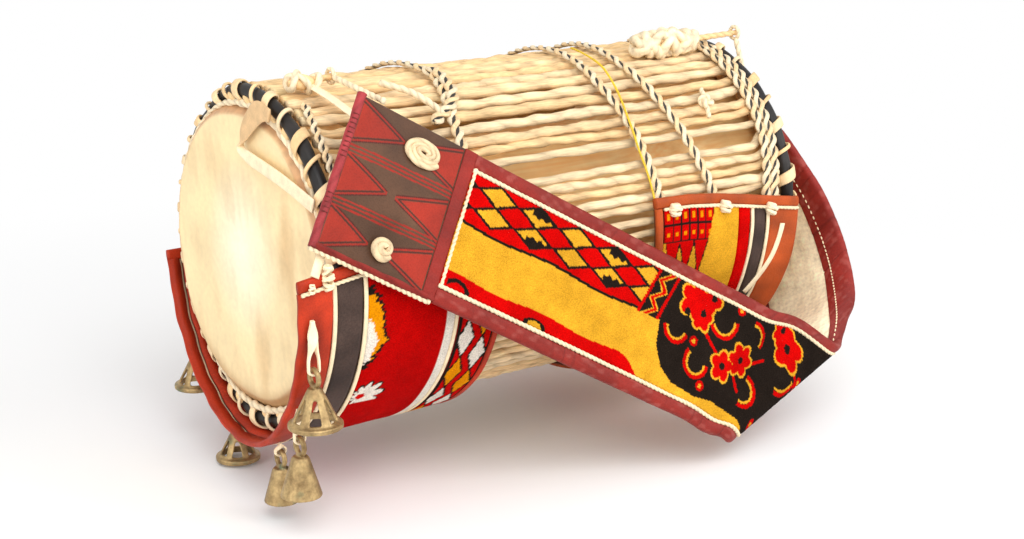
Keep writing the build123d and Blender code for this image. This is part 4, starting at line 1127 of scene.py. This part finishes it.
def strapTint(u, v):         # diamonds over a yellow field and a red edge, then red flowers on black
    u, v = tufts(u), tufts(v)
    wave = 42.4 + 1.1 * np.sin(u / 13)
    redTop = 73.4 + 1.0 * np.sin(u / 11) + 14 * ease(38, 72, u) ** 2
    tint = np.broadcast_to(paint["pileRed"], (*u.shape, 3))
    tint = painted(tint, ((v > wave) & (v < redTop), "pileYellow"), (np.abs(v - wave) < 0.95, "pileBlack"))
    above = v < wave - 1
    for row, lean in ((19.0, 1.0), (32.0, -1.0)):
        k = np.round((u + 68.5) / 30.8)
        du, dv = u + 68.5 - 30.8 * k, v - row
        size = np.abs(du) / 12.8 + np.abs(dv) / 6.0
        leaf = above & (np.mod(k, 2) == 1) & (size < 1.27) & (du > -5)
        tint = painted(tint, (above & (np.abs(dv) < 0.6) & (np.abs(du) > 11), "pileBlack"),
                       (above & (size < 1.27), "pileBlack"), (above & (size < 0.95), "pileYellow"),
                       (leaf & (dv * lean < 2.2 * np.abs(np.mod(du, 6) / 3 - 1) - 0.9), "pileBlack"))
    hook = np.abs(np.hypot(u + 79, (v - 84) * 1.2) - 8.5)
    patch = np.hypot((u + 20) / 6, (v - 81.5) / 3)
    edge = u + 0.3 * (v - 12)
    block = (v < wave + 2) & (edge > 60) & (edge < 78)
    zig = np.abs(edge - (np.abs(np.mod(v, 12.5) - 6.25) * 1.1 + 65.5))
    ground = ((edge > 78) | (v > wave + 2)) & (u > 70) & (v < np.interp(u, *shoreline))
    tint = painted(tint, ((hook < 1.5) & (v < 83) & (u > -86), "pileBlack"),
                   (patch < 1.4, "pileBlack"), (patch < 0.9, "pileYellow"),
                   (block, "pileBlack"), (block & (zig < 2.6), "pileYellow"),
                   (block & ((zig < 1.5) | (edge < 62.2) | (edge > 75.8)), "pileRed"), (ground, "pileBlack"))
    art = tint
    for spray in sprays:
        art = curl(art, u, v, *spray)
    for start, end in stems:
        art = painted(art, (besides(u, v, start, end) < 1.1, "pileRed"))
    inside = np.max([petalEdge(u, v, *bloom) for bloom in blooms], axis=0)
    art = painted(art, (inside > -1.6, "pileYellow"), (inside > 0, "pileRed"))
    for middle in eyes:
        art = painted(art, (awayFrom(u, v, middle) < 2.5, "pileBlack"))
    for middle in dots:
        away = awayFrom(u, v, middle)
        art = painted(art, (away < 3.4, "pileRed"), (away < 1.5, "pileYellow"))
    return cut(tint, ground, art) * (1 + 0.09 * wobble(121, 17.0, u, v))[..., None]


inset, cols = strap["inset"], strap["cols"]
t = np.linspace(0, 1, cols)
edge = np.clip(np.minimum(t, 1 - t) * strap["pileWidth"] / strap["pileRound"], 0, 1)
top = strapLine(t, inset * (1 - 2 * t), -face - strap["pileHigh"] * np.sqrt(1 - (1 - edge) ** 2))
under = strapLine(np.array([1.0, 0.0]), np.array([-inset, inset]), np.array([0.8, 0.8]))
run = np.stack([strap["start"] + lengthAlong(top[:, k]) for k in range(0, cols, 5)], 1)
u = np.stack([np.interp(t, t[::5], row) for row in run])
v = np.broadcast_to(t * (strap["width"] - 2 * inset) + inset, u.shape)
pile = top - strap["pile"] * np.abs(wobble(122, 1.1, u, v))[..., None] * inward[:, None]
backing = np.broadcast_to(paint["pileBack"], (strap["rows"], 2, 3))
carpet = sweep(np.concatenate([pile, under], 1), np.concatenate([strapTint(u, v), backing], 1))
makePiece("strap_pile", carpet, "carpetPile", "strap", ["strap_carpet"], "carpet_red")

inset, cols = strap["liningInset"], strap["liningCols"]
t = np.linspace(0, 1, cols)
ends = t[::1 - cols]
lumps, nap = [wobble(seed, size, legRun[:, None], t[None] * 80) for seed, size in ((123, 8.0), (124, 1.6))]
top = strapLine(t, inset * (1 - 2 * t), 0 * t + face) + 0.3 * lumps[..., None] * inward[:, None]
under = strapLine(ends, inset * (1 - 2 * ends), np.array([1.2, 1.2]))
tint = paint["suede"] * (0.96 + 0.06 * lumps + 0.09 * nap)[..., None]
lining = sweep(np.concatenate([top, under], 1), np.concatenate([tint, tint[:, ::1 - cols]], 1))
makePiece("strap_suede", lining, "paleSuede", "strap", ["strap_lining"], "suede")

# leather folded over an edge: narrow on the carpet's side, wide on the suede's, creased every few
# millimetres, with painted shade in the creases and pale patches of wear and painted highlight
fold = rounded([(9.0, -face + 0.3), (8.6, -face - 0.5), (5.0, -face - 0.85), (1.4, -face - 0.6),
                (-0.3, -face + 0.9), (-0.5, 0.0), (-0.2, face - 0.8), (1.4, face + 0.4), (8.0, face + 0.75),
                (18.4, face + 0.75), (20.4, face + 0.55), (20.4, face + 0.25), (9.2, face + 0.22),
                (9.2, 0.9)])
foldIn, foldHigh = fold[:, 0], fold[:, 1]
run = legRun[:, None] + 0.3 * foldIn
folds = np.exp(-((np.mod(run / 11 + 0.35 * wobble(134, 15.0, run), 1) - 0.5) / 0.07) ** 2)
crease = folds * ease(-0.6, 0.9, wobble(135, 9.0, run))
sewn = np.arange(26, strap["rows"] - 4, strap["stitchEvery"])
pipes = []
for k, (name, line, sign) in enumerate((("upper", upper, 1.0), ("lower", lower, -1.0))):
    lift = 0.16 * wobble(130 + k, 5.0, run, foldIn[None]) - 0.3 * crease * np.clip(foldHigh / face, -1, 1)
    sections = strapLine(0 * foldIn + k, sign * foldIn, foldHigh) + lift[..., None] * inward[:, None]
    # pale patches: wear and painted highlight; the creases darkened by painted shade
    worn = 0.22 * ease(0.2, 1.1, wobble(136 + k, 6.0, run, foldIn[None] * 2)) * (1 - crease)
    tint = mix(paint["bindingRed"], paint["bindingWearAndHighlight"], worn) * (1 - 0.28 * crease)[..., None]
    places = line + sign * across * strap["stitchIn"] + inward * (face + 0.8)
    stitches = beads(places[sewn], ahead[sewn], inward[sewn], strap["stitch"], paint["piping"])
    makePiece(f"strap_fold_{name}", sweep(sections, tint), "wornLeather", "strap", [f"strap_binding_{name}"],
              "red_leather")
    makePiece(f"strap_stitches_{name}", stitches, "creamThong", "strap", (), "cream_cord")
    pipes.append((line + sign * across * strap["pipeIn"] - inward * (face + 0.35), -inward, strap["pipe"]))
endLine = onLeg(strap["start"] + 1.6, np.linspace(9.0, strap["width"] - 9.0, 120), face + 0.5)
pipes.append((endLine, restOut, strap["endPipe"]))
pipes = [rope(line, up, radius, strap["pipePitch"], paint["piping"], depth=0.3, sides=10, seed=141 + k)
         for k, (line, up, radius) in enumerate(pipes)]
makePiece("strap_cream_piping", join(pipes), "creamThong", "strap", ["strap_piping"], "cream_cord")
print("strap finished")


# Padded leather panel at the strap's near end

panel = {
    "rows": 168, "cols": 210, "base": -2.6, "rise": 6.6, "puff": 2.2, "simRows": 27, "simCols": 33,
    "held": 6.0,             # reach round a button that is sewn down
    "shoulder": 3.0, "sides": 3.6,           # how far in the top rounds off, height of the sides below
    # button's place along and across the panel, half sizes, turns, rise, thickness and seed
    "buttons": ((47.0, 16.0, 12.4, 7.6, 3.1, 1.4, 1.9, 161), (40.0, 79.0, 6.0, 6.0, 2.0, 3.4, 2.4, 162)),
    "triangles": ((15.5, 28.0), (48.5, 26.0), (80.0, 25.0)),     # place across and length
    "strokes": (32.0, 64.0),
    "simScale": 10, "simFrames": 20, "highest": 4.0,
    "cloth": {"vertex_group_mass": "held", "use_pressure": True, "uniform_pressure_force": 4,
              "tension_stiffness": 40, "bending_stiffness": 5},
}


def puffedTop():             # a leather sheet held at its edges and buttons, blown up by cloth simulation
    rows, cols, long, wide = panel["simRows"], panel["simCols"], strap["raised"], strap["width"]
    a, c = np.meshgrid(np.linspace(0, long, rows), np.linspace(0, wide, cols), indexing="ij")
    rise = panel["puff"] * 0.55 * np.sin(np.pi * a / long) * np.sin(np.pi * c / wide)
    mesh = bpy.data.meshes.new("panelTry")
    i, j = np.meshgrid(np.arange(rows - 1), np.arange(cols - 1), indexing="ij")
    corner = i * cols + j
    quads = np.stack([corner, corner + cols, corner + cols + 1, corner + 1], -1).reshape(-1, 4)
    flat = np.stack([a, c, 0 * a], -1).reshape(-1, 3) * mm * panel["simScale"]
    mesh.from_pydata(flat.tolist(), [], quads.tolist())
    sheet = bpy.data.objects.new("panelTry", mesh)
    bpy.context.scene.collection.objects.link(sheet)
    held = sheet.vertex_groups.new(name="held")
    border = (a < 0.1) | (a > long - 0.1) | (c < 0.1) | (c > wide - 0.1)
    for along, across, *_ in panel["buttons"]:
        border |= np.hypot(a - along, c - across) < panel["held"]
    held.add(np.flatnonzero(border.ravel()).tolist(), 1.0, "REPLACE")
    cloth = sheet.modifiers.new("cloth", "CLOTH")
    cloth.settings.effector_weights.gravity = 0
    for setting, value in panel["cloth"].items():
        setattr(cloth.settings, setting, value)
    cloth.point_cache.frame_end = panel["simFrames"]
    scene = bpy.context.scene
    for step in range(panel["simFrames"]):
        scene.frame_set(step + 1)
    solved = sheet.evaluated_get(bpy.context.evaluated_depsgraph_get()).to_mesh()
    height = np.empty(rows * cols * 3, np.float32)
    solved.vertices.foreach_get("co", height)
    scene.frame_set(1)
    bpy.data.objects.remove(sheet)
    rise = np.abs(height.reshape(rows, cols, 3)[..., 2]) / mm / panel["simScale"]
    return np.minimum(rise, panel["highest"]) * panel["puff"] / max(rise.max(), 1e-6)


def spreadGrid(values, rows, cols):          # a coarse grid read at finer places, rows first
    r, c = np.linspace(0, 1, values.shape[0]), np.linspace(0, 1, values.shape[1])
    tall = np.stack([np.interp(np.linspace(0, 1, rows), r, column) for column in values.T], 1)
    return np.stack([np.interp(np.linspace(0, 1, cols), c, line) for line in tall])


def fromEdge(a, c):          # distance to the nearest edge of the panel
    return np.minimum(np.minimum(a, strap["raised"] - a), np.minimum(c, strap["width"] - c))


def panelTint(a, c):         # brown, red triangles on both ends outlined by fine lines, ruled strokes between
    tint = paint["panelBrown"] * (1 + 0.18 * wobble(151, 12.0, a * 0.5, c))[..., None]
    for base, apex in panel["triangles"]:
        for start, sign, tip in ((2.0, 1, apex), (73.0, -1, apex + 5)):
            away = (a - start) * sign
            reach = np.abs(c - base) - 10.8 * (1 - away / tip)
            tint = painted(tint, ((away > 0) & (reach < 0) & (away < tip), "panelRed"))
            for middle, half, past, ink in ((0.7, 0.45, 2, "panelLine"), (1.9, 0.55, 4, "panelStroke"),
                                            (2.9, 0.4, 4, "panelLine")):
                along = (away > 0) & (away < tip + past)
                tint = painted(tint, (along & (np.abs(reach - middle) < half), ink))
    for line in panel["strokes"]:
        tilt = c - line + 0.03 * (a - 37)
        for shift in (-2.4, 0.0, 2.4):
            tint = painted(tint, (np.abs(tilt - shift) < 0.55, "panelStroke"))
    worn = 1 + 0.16 * wobble(152, 5.0, a, c) * ease(2.0, 0.0, fromEdge(a, c))
    return tint * worn[..., None]


puff = spreadGrid(puffedTop(), panel["rows"], panel["cols"])
a, c = np.meshgrid(np.linspace(0, strap["raised"], panel["rows"]),
                   np.linspace(0, strap["width"], panel["cols"]), indexing="ij")
shoulder = np.sqrt(np.clip(1 - (1 - np.clip(fromEdge(a, c) / panel["shoulder"], 0, 1)) ** 2, 0, 1))
height = panel["base"] + panel["sides"] + (panel["rise"] - panel["sides"]) * shoulder + puff
topSide = onLeg(strap["panelStart"] + a, c, height)
lowSide = onLeg(strap["panelStart"] + a[:, [0, -1]][:, ::-1], c[:, [-1, 0]], panel["base"])
lowTint = np.broadcast_to(paint["bindingRed"], (panel["rows"], 2, 3))
padded = sweep(np.concatenate([topSide, lowSide], 1), np.concatenate([panelTint(a, c), lowTint], 1))
pad = makePiece("strap_padded_panel", padded, "wornLeather", "strap", ["strap_end_panel"], "panel_leather")

panelEdge = {
    "roll": 2.7, "rollHigh": 2.0, "tack": (2.3, 0.5, 0.7), "tackHigh": 4.3,
    "whip": 1.9, "whipPitch": 7.5, "lip": 2.3,
    "stripCols": 14,         # of the strip that joins the panel to the carpet
}
side = np.linspace(-0.5, strap["width"] + 0.5, 120)
rollPath = onLeg(strap["panelStart"], side, panelEdge["rollHigh"] + 0.2 * wobble(153, 9.0, side))
rollTint = paint["rollPink"] * (1 + 0.15 * wobble(154, 6.0, side))[:, None, None]
roll = rope(rollPath, restOut, panelEdge["roll"], 30.0, rollTint, depth=0.06, seed=155)
tackAt = np.r_[np.arange(13.0, 40, 2.9), np.arange(62.0, 76, 2.9)]      # dark stitches in two runs
tackPath = onLeg(strap["panelStart"] - 0.6, tackAt, panelEdge["tackHigh"])
tacks = beads(tackPath, np.broadcast_to(legAlong, tackPath.shape), np.broadcast_to(restOut, tackPath.shape),
              panelEdge["tack"], mix(paint["panelLine"], paint["rollPink"], 0.3))
makePiece("panel_rolled_edge", join([roll, tacks]), "wornLeather", "strap", (), "red_leather")
along = strap["panelStart"] + np.linspace(-1.0, strap["panelLength"] - 1.0, 200)
whip = rope(onLeg(along, strap["width"] + 0.7, 0.6), restOut, panelEdge["whip"], panelEdge["whipPitch"],
            paint["piping"], depth=0.3, seed=156)
makePiece("panel_whipped_edge", whip, "creamThong", "strap", (), "cream_cord")
lip = rope(onLeg(along[:-8], strap["width"] - 1.5, 2.2), restOut, panelEdge["lip"], 40.0, paint["bindingRed"],
           depth=0.05, seed=157)
makePiece("panel_lower_lip", lip, "wornLeather", "strap", (), "red_leather")

cols = panelEdge["stripCols"]
a = strap["panelStart"] + np.linspace(strap["raised"] - 0.5, strap["panelLength"] + 0.4, cols)
c = np.linspace(0.2, strap["width"] - 0.2, 110)[:, None]
bulge = 0.35 * np.sin(np.pi * np.linspace(0, 1, cols)) + 0.12 * wobble(158, 6.0, c)
strip = np.concatenate([onLeg(a, c, face + 0.5 + bulge), onLeg(a[::1 - cols], c, -face)], 1)
stripTone = paint["bindingRed"] * (1 + 0.12 * wobble(159, 9.0, c))[..., None]
makePiece("panel_joining_strip", sweep(strip, stripTone), "wornLeather", "strap", (), "red_leather")


def coiled(along, across, halfAlong, halfAcross, turns, rise, radius, seed):
    # a thong wound inwards in an oval, rising to its middle
    t = np.linspace(0, 1, 220)
    turn = 2 * np.pi * turns * t + 0.5
    reach = 1 - 0.94 * t
    path = onLeg(strap["panelStart"] + along + halfAlong * (reach + 0.14 * (1 - reach)) * np.cos(turn),
                 across + halfAcross * reach * np.sin(turn), panel["rise"] + panel["base"] + 1.8 + rise * t)
    tint = mix(paint["thong"], paint["rawhide"], 0.45) * 0.84
    return rope(path, restOut, radius * (1 - 0.22 * t), 20.0, tint, depth=0.12, seed=seed)


makePiece("panel_knot_buttons", join([coiled(*button) for button in panel["buttons"]]), "creamThong",
          "strap", ["strap_panel_buttons"], "cream_cord")


# Ties between the strap and the lashing knots

strapTie = {
    "eye": 4.3, "eyeCord": 1.4, "cord": 1.95, "nearX": -140.0, "farX": drum["half"] + 8.0,
    "onPanel": (14.0, -2.3), "onEnd": (14.0, 2.0),       # where the cords end on the panel and the strap
}


def tie(end, eyeX, target):          # an eye round the toggle and a straight cord from it to the strap
    centre = onDrum(eyeX, knot["circle"], knot["angle"])
    reach = target - centre
    start = unit(reach) * strapTie["eye"]
    t = np.arange(48) * 2 * np.pi / 48
    eye = centre + strapTie["eye"] * np.stack([0 * t, np.cos(t), np.sin(t)], -1)
    line = centre + start + np.linspace(0, 1, 60)[:, None] * (reach - start)
    parts = [rope(eye, eye - centre, strapTie["eyeCord"], 9.0, paint["thong"], sides=10, loop=True, seed=171),
             rope(line, knotOut, strapTie["cord"], 13.0, paint["thong"], seed=172)]
    makePiece(f"strap_thong_{end}", join(parts), "creamThong", "strap", [f"strap_tie_{end}"], "cream_cord")


along, side = strapTie["onPanel"]
tie("near", strapTie["nearX"], onLeg(strap["panelStart"] + along, side, face))
side, along = strapTie["onEnd"]
tie("far", strapTie["farX"], upper[-1] + across[-1] * side + ahead[-1] * along)
print("panel and ties finished")


# Loose flat thongs at the near head and on the far apron

def splinePoints(name, points, resolution=14):       # the line of a NURBS curve that has these control points
    curve = bpy.data.curves.new(name, "CURVE")
    curve.dimensions = "3D"
    spline = curve.splines.new("NURBS")
    spline.points.add(len(points) - 1)
    spline.points.foreach_set("co", np.c_[points, np.ones(len(points))].ravel())
    spline.order_u = 3
    spline.use_endpoint_u = True
    spline.resolution_u = resolution
    holder = bpy.data.objects.new(name, curve)
    line = bpy.data.meshes.new_from_object(holder)
    path = np.empty(len(line.vertices) * 3, np.float32)
    line.vertices.foreach_get("co", path)
    bpy.data.objects.remove(holder)
    return path.reshape(-1, 3).astype(float)


thongX = sum(corner.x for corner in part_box("loose_thong_near")) / 2 / mm
looseThongs = {  # the three short ones have places along X, circles and angles
    "loose_flat_thong": {      # turns down in front of the head and goes behind the panel
        "points": [(thongX, y, drum["axisZ"] + z) for y, z in (
            (-44.5, 95.6), (-33, 98.5), (-19, 88), (-9, 76.5), (-6, 70.5), (-15, 66.5), (-40, 62.5),
            (-66, 57.5), (-92, 50.5))],
        "halfWidth": 4.4, "flare": 2.9, "halfThick": 0.9, "up": (-1.0, 0.0, 0.0),
        "foldOut": (0.0, 0.91, -0.42), "node": ["loose_thong_near"]},
    "upper_flat_thong": {      # from the lashing knot down behind the panel's corner
        "points": [onDrum(*p) for p in (
            (-160, 116, 78), (-154, 114.5, 70), (-147, 113.5, 61), (-140, 113.5, 52))],
        "halfWidth": 3.2, "halfThick": 0.8, "up": radial(66.0), "node": []},
    "corner_flat_thong": {     # short end between the panel and the apron's corner
        "points": [onDrum(*p) for p in ((-186, 113, 24), (-190, 114, 20), (-196, 115, 14), (-203, 116, 8))],
        "halfWidth": 2.9, "halfThick": 0.8, "up": radial(18.0), "node": []},
    "far_slit_thong": {        # laid on the far apron's leather below the hem
        "points": [onDrum(*p) for p in (
            (164, 115.9, -3), (162, 116.2, -10), (154, 116.2, -20), (143, 116.0, -28))],
        "halfWidth": 2.2, "halfThick": 0.7, "up": radial(-15.0), "node": []},
}
for name, look in looseThongs.items():
    path = splinePoints(name, np.array(look["points"]))
    length = lengthAlong(path)[-1]
    share = lengthAlong(path) / length
    up, wide, tint = np.array(look["up"]), look["halfWidth"], paint["thong"] * 0.98
    if "foldOut" in look:        # broad and brown to where it turns down, then over on its other side
        fold = share[np.argmax(path[:, 1])]
        turn = np.pi * ease(fold - 0.07, fold + 0.07, share)[:, None]
        up = np.cos(turn) * up + np.sin(turn) * np.array(look["foldOut"])
        wide = wide + look["flare"] * ease(0.0, 0.12, share) * ease(fold + 0.02, 0.12, share)
        wide = wide * (1 - 0.42 * np.exp(-((share - fold) / 0.06) ** 2))
        tint = mix(tint, paint["hideBrown"] * 1.15, 0.75 * ease(fold + 0.02, fold - 0.04, share))[:, None]
    strip = ribbon(path, up, wide, look["halfThick"], tint)
    piece = makePiece(name, strip, "creamThong", "drum", look["node"], "rawhide")
print("loose thongs finished")


# Stage, light and camera

stage = {"floor": cadLow.z - 0.002, "size": 6.0, "fade": (0.3, 0.8), "floorTone": 0.93, "sky": 0.68}
white = (1, 1, 1, 1)


def seenRays(tree):          # 1 for what the camera sees straight or mirrored, 0 for light that bounces
    rays = tree.nodes.new("ShaderNodeLightPath")
    either = makeNode(tree, "ShaderNodeMath", operation="MAXIMUM")
    tree.links.new(rays.outputs["Is Camera Ray"], either.inputs[0])
    tree.links.new(rays.outputs["Is Glossy Ray"], either.inputs[1])
    return either.outputs[0]


def mixShaders(tree, share, first, second, output):      # first where share is 0, second where it is 1
    blend = tree.nodes.new("ShaderNodeMixShader")
    for socket, source in zip(blend.inputs, (share, first.outputs[0], second.outputs[0])):
        tree.links.new(source, socket)
    tree.links.new(blend.outputs[0], tree.nodes[output].inputs["Surface"])


def placeAndAim(name, data, place, aim):     # links an object that looks from place to aim
    holder = bpy.data.objects.new(name, data)
    holder.location = place
    holder.rotation_mode = "QUATERNION"
    holder.rotation_quaternion = (Vector(aim) - Vector(place)).to_track_quat("-Z", "Y")
    bpy.context.scene.collection.objects.link(holder)
    return holder


floorMesh = bpy.data.meshes.new("floor")
size = stage["size"]
corners = [(x, y, stage["floor"]) for x, y in ((-size, -size), (size, -size), (size, size), (-size, size))]
floorMesh.from_pydata(corners, [], [(0, 1, 2, 3)])
floor = bpy.data.objects.new("floor", floorMesh)
bpy.context.scene.collection.objects.link(floor)
floorPaint = bpy.data.materials.new("floorPaint")
floorPaint.use_nodes = True
ground = floorPaint.node_tree        # plain near the drum, so that its shadow shows, then white to the camera
surface = ground.nodes["Principled BSDF"]
floorSockets = {"Base Color": (*[stage["floorTone"]] * 3, 1), "Roughness": 0.9, "Specular IOR Level": 0.0}
for socket, value in floorSockets.items():
    surface.inputs[socket].default_value = value
glow = makeNode(ground, "ShaderNodeEmission", Color=white, Strength=1.0)
away = makeNode(ground, "ShaderNodeVectorMath", operation="LENGTH")
ground.links.new(ground.nodes.new("ShaderNodeTexCoord").outputs["Object"], away.inputs[0])
fade = makeNode(ground, "ShaderNodeMapRange", interpolation_type="SMOOTHSTEP",
                **{"From Min": stage["fade"][0], "From Max": stage["fade"][1]})
ground.links.new(away.outputs["Value"], fade.inputs["Value"])
share = makeNode(ground, "ShaderNodeMath", operation="MULTIPLY")
ground.links.new(fade.outputs["Result"], share.inputs[0])
ground.links.new(seenRays(ground), share.inputs[1])
mixShaders(ground, share.outputs[0], surface, glow, "Material Output")
floorMesh.materials.append(floorPaint)

world = bpy.data.worlds.new("studio")
bpy.context.scene.world = world
world.use_nodes = True
sky = world.node_tree
light = sky.nodes["Background"]
light.inputs["Color"].default_value = white
light.inputs["Strength"].default_value = stage["sky"]
backdrop = makeNode(sky, "ShaderNodeBackground", Color=white, Strength=1.0)
mixShaders(sky, seenRays(sky), light, backdrop, "World Output")

lamps = {        # place, aim, size and power
    "key": ((-0.7, -1.4, 1.4), (0, 0, 0.1), 1.4, 25.0),
    "fill": ((-1.6, -0.3, 0.5), (0, 0, 0.1), 1.0, 6.0),
    "rim": ((0.9, -1.2, 0.9), (0.05, 0, 0.1), 1.2, 12.0),
}
for name, (place, aim, size, power) in lamps.items():
    lamp = bpy.data.lights.new(name, "AREA")
    lamp.size, lamp.energy = size, power
    placeAndAim(name, lamp, place, aim)

# the camera's place and aim in millimetres from the drum's middle
view = {"place": (-668.5, -924.2, 273.9), "aim": (19.9, 0.0, -40.7), "focal": 60.71}
middle = Vector((0, 0, drum["axisZ"]))
lens = bpy.data.cameras.new("camera")
lens.sensor_width = 36.0
lens.lens = view["focal"]
lens.clip_start, lens.clip_end = 0.05, 50.0
bpy.context.scene.camera = placeAndAim("camera", lens, (Vector(view["place"]) + middle) * mm,
                                       (Vector(view["aim"]) + middle) * mm)
bpy.context.scene.view_settings.view_transform = "Standard"
print("stage finished")
